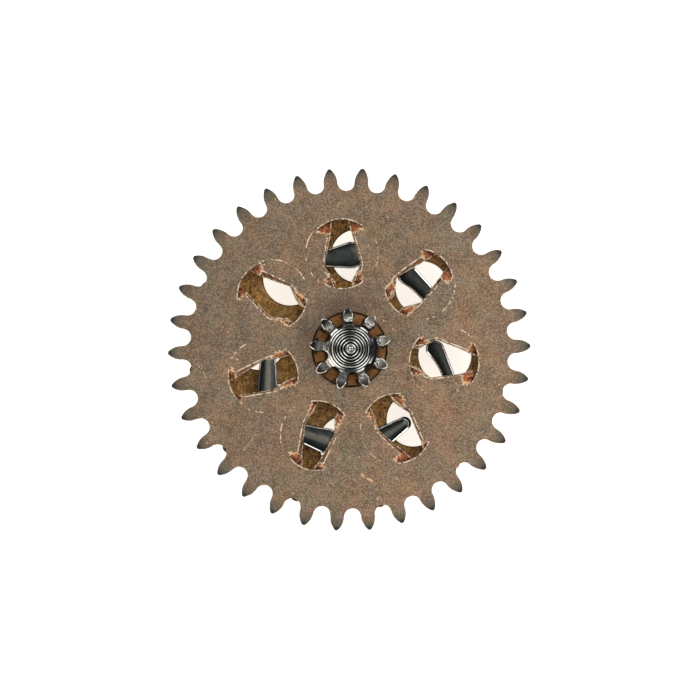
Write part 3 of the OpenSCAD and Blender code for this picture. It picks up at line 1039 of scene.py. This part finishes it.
WINDOWS = [
    cut_window((0.231, 0.333, 0.265), (0.265, 0.350, 0.299), (0.162, 0.188, 0.299, 0.154),
               (0.162, 0.171, 0.316, 0.145), (0.384, 0.359), (0.273, 0.290), (0.005, -0.009),
               [(-85, 50, 1.0)]),
    cut_window((0.222, 0.333, 0.273), (0.214, 0.325, 0.273), (0.145, 0.179, 0.316, 0.154),
               (0.145, 0.188, 0.299, 0.128), (0.427, 0.410), (0.325, 0.325), (0.041, 0.009),
               [(112, 36, 1.0), (62, 16, 0.9), (-90, 24, 0.55)]),
    cut_window((0.325, 0.384, 0.359), (0.205, 0.248, 0.256), (0.188, 0.231, 0.350, 0.154),
               (0.111, 0.145, 0.239, 0.094), (0.410, 0.325), (0.342, 0.256), (0.034, 0.017),
               [(-70, 52, 0.85)]),
    cut_window((0.290, 0.410, 0.350), (0.137, 0.282, 0.239), (0.214, 0.265, 0.393, 0.188),
               (0.034, 0.111, 0.265, 0.102), (0.453, 0.290), (0.410, 0.273), (0.034, 0.034),
               [(58, 12, 1.0), (-110, 36, 0.5)]),
    cut_window((0.307, 0.376, 0.342), (0.145, 0.290, 0.239), (0.222, 0.273, 0.342, 0.205),
               (0.009, 0.060, 0.256, 0.188), (0.410, 0.290), (0.393, 0.290), (-0.031, 0.026),
               [(-95, 38, 0.6)]),
    cut_window((0.290, 0.325, 0.307), (0.171, 0.273, 0.265), (0.154, 0.214, 0.290, 0.188),
               (0.017, 0.094, 0.239, 0.171), (0.367, 0.316), (0.342, 0.273), (-0.026, 0.017),
               [(-62, 10, 1.0), (-100, 24, 0.8)]),
    cut_window((0.231, 0.302, 0.290), (0.196, 0.273, 0.290), (0.171, 0.196, 0.265, 0.179),
               (0.068, 0.111, 0.256, 0.205), (0.401, 0.290), (0.307, 0.325), (-0.060, 0.000),
               [(66, 12, 1.0), (-58, 7, 1.0), (-78, 5, 0.9)]),
]
print(len(WINDOWS), "windows")

# %% Follow the cut of a window
OUTER_EAR_FROM = 0.375
INNER_EAR_FROM = -0.270
EAR_STEP = 0.003
RAY_LENGTH = 0.68
RAY_STEPS = 900


def low_line(look, side):
    """The lower edge of one side of a window: places outward, and the half widths there."""
    return LOW_AT[::-1], look["low"][side][::-1]


def top_line(look, side):
    """The top edge of one side as measured: places outward, and the half widths there."""
    return TOP_AT[::-1], look["top"][side][::-1]


def cut_line(look, side):
    """The top edge of one side as cut: the measured one, but the lower edge in the hollows."""
    torn_at = (-0.6, INNER_EAR_FROM - EAR_STEP, OUTER_EAR_FROM + EAR_STEP, 0.6)
    flap_at = (INNER_EAR_FROM, TOP_AT[1], OUTER_EAR_FROM)
    torn = np.interp(torn_at, *low_line(look, side))
    flap = np.interp(flap_at, *top_line(look, side))
    return (*torn_at[:2], *flap_at, *torn_at[2:]), (*torn[:2], *flap, *torn[2:])


def half_width(line, look, outwards, sideways):
    """Half width of a window at a place, by the line of the side on which the place lies."""
    left, right = (np.interp(outwards, *line(look, side)) for side in (0, 1))
    return np.where(sideways >= 0, left, right)


def cut_radius(directions, rim, line, look):
    """Distance from the pocket's centre to the cut in each direction: how far a ray goes until
    it is further to the side than the half width there, or meets the rim."""
    along = np.linspace(0, RAY_LENGTH, RAY_STEPS)[None, :]
    outwards = along * np.cos(directions)[:, None]
    sideways = along * np.sin(directions)[:, None]
    beyond = (np.abs(sideways) > half_width(line, look, outwards, sideways)) | (along > rim[:, None])
    return np.minimum(along[0, beyond.argmax(axis=1)], rim)


print("a ray meets the cut to", round(RAY_LENGTH / RAY_STEPS, 5), "mm")

# %% Tear the hollows, and mark the rim
EAR_WAVE = 0.02  # how far the reach of a hollow waves
EAR_SLANT_AT, EAR_SLANT = 0.23, 0.3  # where and how much the outer hollow's line slants
EAR_BRINK = (-0.004, 0.012)  # from plain web to full depth across that line
TEAR_BAND = 0.10  # width of the frayed border
FLAP_GAP = 0.008  # torn strip beside the top edge
FLAP_TO = (0.32, 0.37)  # where the inner hollow's own reach takes over


def rim_radius(directions, rim_shift):
    """Distance from the pocket's centre to a circle of RIM_R whose centre is shifted."""
    shift_u, shift_v = rim_shift
    along = shift_u * np.cos(directions) + shift_v * np.sin(directions)
    aside = shift_u * np.sin(directions) - shift_v * np.cos(directions)
    return along + np.sqrt(RIM_R ** 2 - aside ** 2)


def hollow(outwards, sideways, look):
    """How deep the web is torn at a place, from 0 to 1, and how far inside the tear it lies: 0.5
    on the tear's border, 1 from 0.05 mm inside. The depth falls from each hollow's reach towards
    the window, outside a slanting line at the outer end and inside one at the inner end. There
    the reach follows the cut's measured top edge first, and is the hollow's own further in."""
    reach_out = np.where(sideways >= 0, *look["outer_ears"]) + EAR_WAVE * np.sin(outwards * 95)
    reach_in = np.where(sideways >= 0, *look["inner_ears"]) + EAR_WAVE * np.sin(outwards * 80)
    reach_in = np.maximum(reach_in * smooth(-outwards, *FLAP_TO),
                          half_width(top_line, look, outwards, sideways) + FLAP_GAP)
    half = half_width(low_line, look, outwards, sideways)
    aside = np.abs(sideways)
    outer_line = OUTER_EAR_FROM + (aside - EAR_SLANT_AT) * EAR_SLANT + 0.012 * np.sin(sideways * 70)
    inner_line = INNER_EAR_FROM + 0.014 * np.sin(sideways * 60)
    dips, insides = [], []
    for reach, beyond in ((reach_out, outwards - outer_line), (reach_in, inner_line - outwards)):
        fall = np.clip((reach - aside) / np.maximum(reach - half, 0.02), 0, 1)
        dips.append(smooth(beyond, *EAR_BRINK) * fall ** 0.6)
        insides.append(np.minimum(reach - aside, beyond))
    return np.maximum(*dips), np.clip(0.5 + np.maximum(*insides) / TEAR_BAND, 0, 1)


def witness_mark(directions, arcs):
    """Strength of the tool's ring in each direction: the strongest of its arcs."""
    marks = [strength * smooth(half + 5 - np.degrees(near_turn(directions, math.radians(middle))), 0, 8)
             for middle, half, strength in arcs]
    return np.max(marks, axis=0)


print("the torn border is", TEAR_BAND, "mm wide")

# %% [markdown]
# ## Rows of a window sector
# From the sector's border the rows run inward over the web to the pocket's rim, through the
# torn hollows to the top edge of the cut, down its leaning face, out again under the web,
# down the pocket's wall and back to the border along the underside.

# %% Work out a window sector
SECTOR_STEPS = (136, 64, 24)
WEB_ROWS = 15
CUT_WAVES = (25, 110)
TOP_ROUGH, LOW_ROUGH = 0.004, 0.003  # how far the two edges of the cut are ragged
TORN_RELIEF = 0.006
# A painted shadow of a hollow along the pocket's rim, from 0.10 mm off it to full at 0.01 mm
RIM_SHADOW_BAND = (0.10, 0.01)  # the dark strip of a hollow along the pocket's rim
PLAIN_FROM = 0.045
# Just outside the pocket's rim: distance from it, share of the rim's bright line of painted highlight and of
# the ring
RIM_ROWS = ((0.040, 0, 1), (0.024, 0, 1), (0.020, 0, 0), (0.016, 1, 0), (0.001, 1, 0))
# The lip's line and the cut's lower line are bright lines of painted highlight
LIP, LIP_LINE = 0.025, 0.018  # the lip along the top edge, and the bright line on it
CUT_LINE = 0.017  # the bright line along the lower edge


def window_sector(number, look):
    """The grid of one sector of the upper wheel."""
    turn = FIRST_POCKET + number * POCKET_STEP
    border = sector_border(turn, POCKET_COUNT, RIM_CIRCLE_R, BORE_CIRCLE_R, SECTOR_STEPS)
    centre = polar(POCKET_RING_R, turn)
    direction, border_r = seen_from(centre, turn, border)
    rim = rim_radius(direction, look["rim_shift"])
    rough = ripple(direction, *CUT_WAVES, WINDOW_SEED + number)
    top_cut = cut_radius(direction, rim, cut_line, look)
    low_cut = cut_radius(direction, rim, low_line, look)
    at_rim = top_cut > rim - 0.004
    top_cut = np.minimum(top_cut + np.where(at_rim, 0, TOP_ROUGH * rough), rim)
    low_cut = np.minimum(low_cut + LOW_ROUGH * rough, top_cut)
    tool_ring = witness_mark(direction, look["witness"])
    roof = UPPER_TOP - WEB
    blank = np.zeros_like(rim)
    _, tear_at_rim = hollow(rim * np.cos(direction), rim * np.sin(direction), look)
    rim_line = np.maximum(at_rim, smooth(tear_at_rim, 0.4, 0.6))
    rows = []

    def row(radius, height, edge=0.0, face=0.0, witness=0.0, web=False):
        """Adds a row; on the web it dips into the hollows and is marked torn there."""
        outwards, sideways = radius * np.cos(direction), radius * np.sin(direction)
        dip, tear = hollow(outwards, sideways, look) if web else (blank, blank)
        relief = TORN_RELIEF * ripple(sideways * 40 + outwards * 17, 3, 9, number) * dip
        z = np.minimum(height - dip * EAR_DEPTH + relief, height)
        # Painted shadow in a torn hollow just inside the pocket's rim
        brink = smooth(rim - radius, *RIM_SHADOW_BAND) * smooth(tear, 0.5, 0.8)
        plane = centre + polar(radius, turn + direction)
        rows.append((lifted(plane, z), tear, edge, face, witness, brink))

    for share in (0.0, 0.3, 0.6, 0.85, 1.0):
        row(border_r + (rim + PLAIN_FROM - border_r) * share, UPPER_TOP)
    for out, bright, traced in RIM_ROWS:
        row(rim + out, UPPER_TOP, edge=rim_line * bright, witness=tool_ring * traced)
    inner_rim = np.maximum(rim - 0.006, top_cut)
    lip_out = np.minimum(top_cut + LIP, inner_rim)
    for share in np.linspace(0, 1, WEB_ROWS):
        row(inner_rim + (lip_out - inner_rim) * share, UPPER_TOP, web=True)
    row(np.minimum(top_cut + LIP_LINE, inner_rim), UPPER_TOP, edge=1.0, web=True)
    row(top_cut, UPPER_TOP, edge=1.0, web=True)
    cut_z = rows[-1][0][:, 2]
    lean = top_cut - low_cut
    line = np.minimum(CUT_LINE, lean * 0.45) / np.maximum(lean, 1e-6)
    face_rows = ((0.12, 0.0, 0.9), (0.5, 0.0, 1.0), (0.95 - line, 0.0, 1.0), (1 - line, 1.0, 0.4),
                 (1.0, 1.0, 0.4))
    for share, edge, face in face_rows:
        row(top_cut - lean * share, cut_z + (roof - cut_z) * share, edge, face)
    for radius, z in ((rim, roof), (rim, (roof + UPPER_LOW) / 2), (rim, UPPER_LOW),
                      ((border_r + rim) / 2, UPPER_LOW), (border_r, UPPER_LOW)):
        row(radius, z)
    return grid(rows, "tear", "edge", "face", "witness", "brink")


print("a sector has", 2 * SECTOR_STEPS[1] + SECTOR_STEPS[0] + SECTOR_STEPS[2], "columns")

# %% Bore a wheel and make the upper one
WEAR_SEED = 5
BORE_CHAMFER = 0.008


def bore_strip(circle_r, bore_r, count, start, low, top):
    """Strip from a circle on top, down a chamfered bore, and back to the circle below."""
    turns = start + np.arange(count) * 2 * math.pi / count
    # The edge mask marks a painted highlight along the top of the bore's chamfer
    rows = [(circle_r, top, 0), (bore_r + BORE_CHAMFER, top, 0), (bore_r, top - BORE_CHAMFER, 1),
            (bore_r, low + BORE_CHAMFER, 0), (bore_r + BORE_CHAMFER, low, 0), (circle_r, low, 0)]
    return grid([(ring(radius, turns, height), edge) for radius, height, edge in rows], "edge")


def closed_wheel(sectors, count, inner_steps, start, outline, circles, bore_r, low, top, wear_seed):
    """The grids of a whole wheel: its sectors, the toothed rim round them and the bore within.
    The circles are the radii at which the sectors meet the rim and the bore."""
    rim = toothed_rim(outline, circles[0], start, low, top, wear_seed)
    return [*sectors, rim, bore_strip(circles[1], bore_r, count * inner_steps, start, low, top)]


toothed_grids = closed_wheel(
    [window_sector(number, look) for number, look in enumerate(WINDOWS)], POCKET_COUNT, SECTOR_STEPS[2],
    FIRST_POCKET - math.pi / POCKET_COUNT,
    toothed_outline(WHEEL_TEETH, TOOTH_TURN, TIP_R, ROOT_R, GAP_R, TIP_HALF, (8, 5)),
    (RIM_CIRCLE_R, BORE_CIRCLE_R), BORE_R, UPPER_LOW, UPPER_TOP, WEAR_SEED)
piece("toothed_wheel", toothed_grids, PATINATED_BRONZE, "wheel_body", "upper_wheel")

# %% [markdown]
# ## The lower wheel
# It has eight round holes that an end of a pawl drops into, and coarser teeth than the upper
# wheel. Each hole is chamfered. The same border and rim functions make it.

# %% Make the lower wheel
LOWER_TEETH = 23
LOWER_TOOTH_TURN = math.radians(156.3)
LOWER_TIP_R, LOWER_ROOT_R, LOWER_GAP_R, LOWER_TIP_HALF = 2.755, 2.36, 0.19, 0.03
HOLE_COUNT = 8
HOLE_RING_R = 1.61
HOLE_R = 0.46
HOLE_CHAMFER = 0.016
HOLE_LINE = 0.01
HOLE_SHIFT = (0.050, 0.010)
FIRST_HOLE = math.radians(131.2)
LOWER_CIRCLE_R = 2.2
SEAT_CIRCLE_R = 0.40
SEAT_R = 0.30
HOLE_STEPS = (92, 40, 20)
LOWER_WEAR_SEED = 6


def hole_sector(number):
    """The grid of one sector of the lower wheel, from its border over the chamfered hole."""
    turn = FIRST_HOLE - number * 2 * math.pi / HOLE_COUNT
    border = sector_border(turn, HOLE_COUNT, LOWER_CIRCLE_R, SEAT_CIRCLE_R, HOLE_STEPS)
    centre = polar(HOLE_RING_R, turn) + HOLE_SHIFT
    direction, border_r = seen_from(centre, turn, border)
    brim = HOLE_R + HOLE_CHAMFER
    deep = HOLE_CHAMFER * 0.7
    # The chamfer mask marks painted shade on the chamfer and down the hole's wall
    rows = [(border_r, LOWER_TOP, 0), ((border_r + brim) / 2, LOWER_TOP, 0),
            (brim + HOLE_LINE, LOWER_TOP, 0), (brim, LOWER_TOP, 1),
            (HOLE_R, LOWER_TOP - deep, 1), (HOLE_R, LOWER_TOP - deep - HOLE_LINE, 0.6),
            (HOLE_R, LOWER_LOW + deep, 0.6), (brim, LOWER_LOW, 0), (border_r, LOWER_LOW, 0)]
    return grid([(lifted(centre + polar(radius, turn + direction), z), chamfer)
                 for radius, z, chamfer in rows], "chamfer")


pierced_grids = closed_wheel(
    [hole_sector(number) for number in range(HOLE_COUNT)], HOLE_COUNT, HOLE_STEPS[2],
    FIRST_HOLE - math.pi / HOLE_COUNT,
    toothed_outline(LOWER_TEETH, LOWER_TOOTH_TURN, LOWER_TIP_R, LOWER_ROOT_R, LOWER_GAP_R, LOWER_TIP_HALF,
                    (9, 6)),
    (LOWER_CIRCLE_R, SEAT_CIRCLE_R), SEAT_R, LOWER_LOW, LOWER_TOP, LOWER_WEAR_SEED)
piece("pierced_wheel", pierced_grids, OLD_BRASS, "arbor_body", "lower_wheel")

# %% [markdown]
# ## The pinion arbor
# The pinion's nine leaves are cut from the same bar as the arbor. Its end is turned: a bevel
# on the leaf tips, a grained flat, a hollow, a raised lip, and small rings that step up to
# the pivot. The rows of this grid are circles cut off at the leaf outline, so that each
# turned ring stays a true circle across the leaves, as it does on the lathe.

# %% Work out the leaf outline
LEAF_TIP_R, LEAF_ROOT_R, LEAF_GAP_R = 0.697, 0.385, 0.088
LEAF_HALF, LEAF_WIDE_AT, LEAF_TIP_HALF = 0.085, 0.547, 0.018
LEAF_STEPS = (11, 7, 16)


def leaf_outline():
    """Outline of the pinion, anticlockwise from the gap before its first leaf: an arc about
    the gap's centre, a straight side that widens outward, and an arc that closes the leaf."""
    half_pitch = math.pi / LEAVES
    gap_at = LEAF_ROOT_R + LEAF_GAP_R
    neck_at = gap_at * math.cos(half_pitch)
    neck_half = gap_at * math.sin(half_pitch) - LEAF_GAP_R
    side_x = np.linspace(neck_at, LEAF_WIDE_AT, LEAF_STEPS[1], endpoint=False)
    side_half = np.interp(side_x, (neck_at, LEAF_WIDE_AT), (neck_half, LEAF_HALF))
    lower = [round_gap(half_pitch, gap_at, LEAF_GAP_R, LEAF_STEPS[0]),
             np.stack([side_x, -side_half], axis=-1),
             flank(LEAF_WIDE_AT, LEAF_WIDE_AT, LEAF_HALF, LEAF_TIP_R, LEAF_TIP_HALF, LEAF_STEPS[2])]
    return all_teeth(lower, LEAF_TIP_R, LEAF_TIP_HALF, LEAVES, LEAF_TURN)


print("leaf outline of", len(leaf_outline()), "points")

# %% Turn the end of the arbor
PINION_LOW = BUSH_TOP
PINION_LENGTH = 0.50
PINION_TOP = PINION_LOW + PINION_LENGTH
PIVOT_R = 0.08
PIVOT_LENGTH = 0.25
UPPER_SHOULDER = ARBOR_TOP - PIVOT_LENGTH

# Radius, height over the pinion's end, painted shade and grain of the turned end, from the leaf
# tips inward: bevel, grained flat, hollow with its two ridges, lip, four ring steps. The painted
# shade darkens flat steps and the bevel, which mirror the dark overhead
END_PROFILE = [
    (0.700, -0.048, 1.0, 0.0), (0.645, -0.033, 1.0, 0.0), (0.606, -0.022, 0.97, 0.0),
    (0.592, -0.018, 0.80, 0.0), (0.544, -0.005, 0.64, 0.0), (0.532, -0.001, 0.0, 1.0),
    (0.518, 0.0, 0.0, 1.0), (0.470, 0.0, 0.0, 1.0), (0.462, -0.004, 0.3, 0.6),
    (0.450, -0.020, 0.5, 0.3), (0.418, -0.021, 0.4, 0.3), (0.414, -0.021, 0.0, 0.0),
    (0.389, -0.007, 0.0, 0.0), (0.386, -0.009, 1.0, 0.0), (0.370, -0.019, 1.0, 0.0),
    (0.367, -0.019, 0.0, 0.0), (0.351, -0.009, 0.0, 0.0), (0.348, -0.011, 1.0, 0.0),
    (0.331, -0.014, 1.0, 0.0), (0.325, 0.001, 0.0, 0.0), (0.314, 0.009, 0.0, 0.0),
    (0.304, 0.006, 0.0, 0.0), (0.299, -0.003, 1.0, 0.0), (0.285, -0.006, 1.0, 0.0),
]
LIP_R = (0.302, 0.325)
RING_OUTERS = (0.280, 0.237, 0.188, 0.137)
RING_SLOPE = 0.015
RING_RISE = 0.014
PIVOT_ROUND = 0.022
# The dished end of the upper pivot: radius, height under its top, painted shade and grain
PIVOT_END = [
    (0.052, -0.001, 0.2, 0.0), (0.047, -0.006, 0.95, 0.0), (0.040, -0.006, 0.95, 0.0),
    (0.033, -0.002, 0.1, 0.0), (0.022, -0.010, 0.0, 0.0), (0.008, -0.012, 0.5, 0.0), (0.0, -0.012, 0.5, 0.0),
]
# Inside this radius every row is a whole circle, because no leaf's gap reaches so far in
WHOLE_R = 0.3
WIDEST_STEP = 0.016


def turned_end():
    """The end profile, the ring steps and the pivot: radius, height, painted shade and grain, inward."""
    profile = [(radius, PINION_TOP + z, grime, grain) for radius, z, grime, grain in END_PROFILE]
    level = PINION_TOP
    inners = (*(outer + 0.002 for outer in RING_OUTERS[1:]), PIVOT_R + 0.012)
    for outer, inner in zip(RING_OUTERS, inners):
        profile += [(outer, level, 1.0, 0.0), (outer - 0.001, level + RING_RISE * 0.15, 0.0, 0.0)]
        level += RING_RISE
        profile += [(outer - RING_SLOPE, level - 0.001, 0.0, 0.0),
                    (outer - RING_SLOPE - 0.002, level, 1.0, 0.0), (inner, level, 1.0, 0.0)]
    profile += [(PIVOT_R, UPPER_SHOULDER + 0.006, 0.3, 0.0), (PIVOT_R, ARBOR_TOP - 0.030, 0.1, 0.0)]
    for angle in np.radians([15, 40, 65, 90]):
        profile.append((PIVOT_R - PIVOT_ROUND * (1 - math.cos(angle)),
                        ARBOR_TOP - PIVOT_ROUND * (1 - math.sin(angle)), 0.0, 0.0))
    profile += [(radius, ARBOR_TOP + z, grime, grain) for radius, z, grime, grain in PIVOT_END]
    return np.array(profile)


def filled(profile, gap):
    """A profile with more rows, so that no step outside WHOLE_R is wider than gap."""
    rows = [profile[0]]
    for before, after in zip(profile[:-1], profile[1:]):
        parts = max(1, math.ceil((before[0] - after[0]) / gap)) if before[0] > WHOLE_R else 1
        rows += [before + (after - before) * share for share in np.linspace(0, 1, parts + 1)[1:]]
    return np.array(rows)


print("the end steps up to", round(turned_end()[:, 1].max(), 3), "mm")

# %% Join the turned end to the leaves
# Radius and height below the pinion: lower pivot, shoulder, collar, riveted lip and seat
LOWER_PROFILE = [
    (0.0, ARBOR_LOW), (0.05, ARBOR_LOW), (PIVOT_R, ARBOR_LOW + 0.03), (PIVOT_R, -0.002), (0.086, 0.0),
    (0.15, 0.0), (0.20, 0.13), (0.325, 0.165), (0.352, 0.178), (0.36, 0.2), (SEAT_R, LOWER_LOW),
    (SEAT_R, PINION_LOW),
]
PINION_UNDER_R = (0.36, 0.45, 0.55, 0.64)
LEAF_EDGE = 0.010
LEAF_END = 0.20
EDGE_SHADE = 0.9


def pinion_arbor_grid():
    """The whole arbor from its lower pivot up to its turned end: rows of points with their painted
    shade, their grain and the painted shine of their edges."""
    outline = leaf_outline()
    inset = outline - outward(outline) * LEAF_EDGE
    inset_r = np.linalg.norm(inset, axis=1)
    turns = np.arctan2(inset[:, 1], inset[:, 0])
    dull_tip = smooth(np.cos(turns - LEAF_TURN), 0.990, 0.997) * smooth(inset_r, 0.650, 0.675)
    shine = smooth(inset_r, 0.50, 0.56) * (1 - dull_tip) + 0.35 * smooth(inset_r, 0.50, 0.42)
    rows = [(ring(radius, turns, z), 0.25, 0.0, 0.0) for radius, z in LOWER_PROFILE]
    rows += [(ring(np.minimum(radius, inset_r), turns, PINION_LOW), 0.4, 0.0, 0.0)
             for radius in PINION_UNDER_R]
    end = filled(turned_end(), WIDEST_STEP)
    tip_first, end_z = end[::-1, 0], end[::-1, 1]
    rim_z = np.interp(inset_r, tip_first, end_z)
    rows += [(lifted(inset, PINION_LOW), 0.4, 0.0, 0.0),
             (lifted(outline, PINION_LOW + LEAF_EDGE), 0.3, 0.0, 0.0),
             (lifted(outline, rim_z - LEAF_END), 0.3, 0.0, 0.0),
             (lifted(outline, rim_z - LEAF_EDGE * 2), 0.3, 0.0, 0.0),
             (lifted(outline, rim_z - LEAF_EDGE), EDGE_SHADE, 0.0, shine),
             (lifted(inset, rim_z), EDGE_SHADE, 0.0, shine)]
    for radius, _, grime, grain in end[(end[:, 0] < LEAF_TIP_R) & (end[:, 0] > WHOLE_R)]:
        cut_r = np.minimum(radius, inset_r)
        kept = (radius < inset_r - 0.004) * 1.0
        rows.append((ring(cut_r, turns, np.interp(cut_r, tip_first, end_z)),
                     grime * kept + EDGE_SHADE * (1 - kept), grain * kept,
                     shine * (1 - kept) + 0.8 * (LIP_R[0] < radius < LIP_R[1])))
    rows += [(ring(radius, turns, z), grime, grain, 0.0) for radius, z, grime, grain in end
             if radius <= WHOLE_R]
    return grid(rows, "grime", "grained", "edge")


piece("pinion_arbor", [pinion_arbor_grid()], POLISHED_STEEL, "arbor_body", "arbor",
      crease=28.0)

# %% [markdown]
# ## The bush
# A plain turned sleeve between the arbor's seat and the upper wheel's bore. Only its top is
# seen, between the leaves, so the lathe's rings there are what matters.

# %% Make the bush
BUSH_R = 0.628
BUSH_CHAMFER = 0.016
BUSH_COLUMNS = 256
BUSH_RINGS = (0.575, 0.470)
RING_DEPTH = 0.004


def bush_grid():
    """A section carried round the axis: up the outside, over the chamfer, in over two shallow
    tool rings, and down the seat."""
    section = [(SEAT_R, BUSH_LOW), (BUSH_R, BUSH_LOW), (BUSH_R, BUSH_TOP - BUSH_CHAMFER),
               (BUSH_R - BUSH_CHAMFER, BUSH_TOP)]
    for outer in BUSH_RINGS:
        section += [(outer, BUSH_TOP), (outer - 0.005, BUSH_TOP - RING_DEPTH),
                    (outer - 0.013, BUSH_TOP - RING_DEPTH), (outer - 0.018, BUSH_TOP)]
    section += [(SEAT_R, BUSH_TOP), (SEAT_R, BUSH_LOW)]
    turns = np.arange(BUSH_COLUMNS) * 2 * math.pi / BUSH_COLUMNS
    return grid([(ring(radius, turns, height),) for radius, height in section])


piece("bush_sleeve", [bush_grid()], BUSH_BRONZE, "arbor_body", "bush")

# %% [markdown]
# ## The pawls
# Each pawl is a flat drop of steel, broad at one end and slim at the other, with a bevel all
# round its top. Its outline is that of two circles and their common tangents. Every outline
# point belongs to a point on the line between the two centres, and the rows shrink towards
# it, so the bevel keeps its width and the top can be a little crowned.

# %% Note how each pawl lies
PAWL_LENGTH = 0.83
SLIM_R = 0.115
BROAD_R = 0.19
PAWL_BEVEL = 0.026
PAWL_CROWN = 0.010
RIM_BAND = 0.009
SLIM_COLUMNS, BROAD_COLUMNS, SIDE_COLUMNS = 28, 36, 16
# Rows of the top, as shares of the way out to the bevel, each with how much painted shade it has
TOP_SHADES = ((0.98, 0.95), (0.9, 0.80), (0.78, 0.55), (0.6, 0.30), (0.45, 0.12), (0.3, 0.0),
              (0.15, 0.0), (0.0, 0.0))


def lay_pawl(outwards, sideways, slim_turn, broad, slim, waist, tone, streak, rim_band=RIM_BAND):
    """How one pawl lies and looks: how far outward and how far round it is from its pocket's
    centre, which way its slim end points in degrees, how broad its two ends are beside the
    usual, how deep its side towards the axis is hollowed, how light its steel is, how strong
    the painted highlight along its middle is, and how far in the bright line of painted highlight runs round
    its slim end."""
    return {"outwards": outwards, "sideways": sideways, "slim_turn": slim_turn, "ends": (broad, slim),
            "waist": waist, "tone": tone, "streak": streak, "rim_band": rim_band}


PAWL_LIES = [
    lay_pawl(-0.003, 0.034, 94.0, 1.20, 1.20, 0.0, 1.12, 0.0),
    lay_pawl(0.010, 0.000, -86.5, 0.95, 1.25, 0.045, 0.44, 0.08),
    lay_pawl(-0.002, 0.010, -54.5, 0.85, 0.90, 0.060, 0.42, 0.0),
    lay_pawl(-0.020, -0.112, 93.0, 1.00, 1.00, 0.0, 0.80, 0.5, 0.040),
    lay_pawl(0.004, 0.000, -86.0, 1.18, 1.40, 0.020, 0.77, 0.70),
    lay_pawl(-0.137, 0.017, -108.0, 0.93, 1.20, 0.0, 0.86, 1.0),
]


print(len(PAWL_LIES), "pawls")

# %% Make the pawls
def pawl_outline(broad, slim):
    """For each column round a pawl: the point on the line between the end centres, the radius
    there, and the outward direction. The tangents lean by the sine of the radii's difference."""
    broad_r, slim_r = BROAD_R * broad, SLIM_R * slim
    broad_x, slim_x = broad_r - PAWL_LENGTH / 2, PAWL_LENGTH / 2 - slim_r
    side = math.pi / 2 - math.asin((broad_r - slim_r) / (slim_x - broad_x))
    back = np.linspace(slim_x, broad_x, SIDE_COLUMNS, endpoint=False)
    front = np.linspace(broad_x, slim_x, SIDE_COLUMNS, endpoint=False)
    turns = np.concatenate([
        np.linspace(-side, side, SLIM_COLUMNS, endpoint=False), np.full(SIDE_COLUMNS, side),
        np.linspace(side, 2 * math.pi - side, BROAD_COLUMNS, endpoint=False), np.full(SIDE_COLUMNS, -side)])
    spine = np.concatenate([np.full(SLIM_COLUMNS, slim_x), back, np.full(BROAD_COLUMNS, broad_x), front])
    return spine, np.interp(spine, (broad_x, slim_x), (broad_r, slim_r)), turns


def pawl_grid(number, lie):
    """The closed grid of one pawl in its pocket."""
    spine, radius, turns = pawl_outline(*lie["ends"])
    deep = PAWL_BEVEL * 0.4
    crown_top = PAWL_TOP - PAWL_CROWN
    at_slim = smooth(np.cos(turns), 0.1, 0.7) * (spine == spine.max())
    line_at = RIM_BAND + (lie["rim_band"] - RIM_BAND) * at_slim
    share = 1 - (line_at + PAWL_BEVEL - RIM_BAND) / radius
    outer = 1 - line_at / radius
    # Masks of each row: the bevel's painted highlight, painted shade on the sides, the underside and the
    # top's outer rows, and the painted highlight along the middle
    rows = [(share * 0, PAWL_LOW, 0, 1, 0), (share * 0.6, PAWL_LOW, 0, 1, 0), (share, PAWL_LOW, 0, 1, 0),
            (1, PAWL_LOW + deep, 0, 1, 0), (1, crown_top - deep - 0.004, 0, 1, 0),
            (outer, crown_top - deep, 0, 1, 0), (outer - 0.001 / radius, crown_top - deep, 1, 0, 0),
            (share, crown_top, 1, 0, 0)]
    for part, shade in TOP_SHADES:
        streak = float(smooth(part, 0.5, 0.15)) * lie["streak"]
        rows.append((share * part, crown_top + PAWL_CROWN * (1 - part ** 2), 0, shade, streak))
    pocket_turn = FIRST_POCKET + (number + 1) * POCKET_STEP
    slim_way = math.radians(lie["slim_turn"])
    inner_side = math.copysign(1, slim_way)
    lines = []
    for shrink, height, *masks in rows:
        local = np.stack([spine, np.zeros_like(spine)], axis=-1) + polar(radius * shrink, turns)
        middle = np.clip(1 - (local[:, 0] / (PAWL_LENGTH / 2)) ** 2, 0, 1) ** 2
        toward_axis = np.clip(local[:, 1] * inner_side / BROAD_R, 0, 1)
        local[:, 1] -= inner_side * lie["waist"] * middle * toward_axis
        plane = turned(local, slim_way) + (POCKET_RING_R + lie["outwards"], lie["sideways"])
        lines.append((lifted(turned(plane, pocket_turn), height), *masks, lie["tone"]))
    return grid(lines, "bevel", "under", "streak", "tone")


for number, lie in enumerate(PAWL_LIES):
    piece(f"pawl_steel_{number + 1}", [pawl_grid(number, lie)], PAWL_STEEL, "pawls_body",
          f"pawl_{number + 1}", crease=20.0)
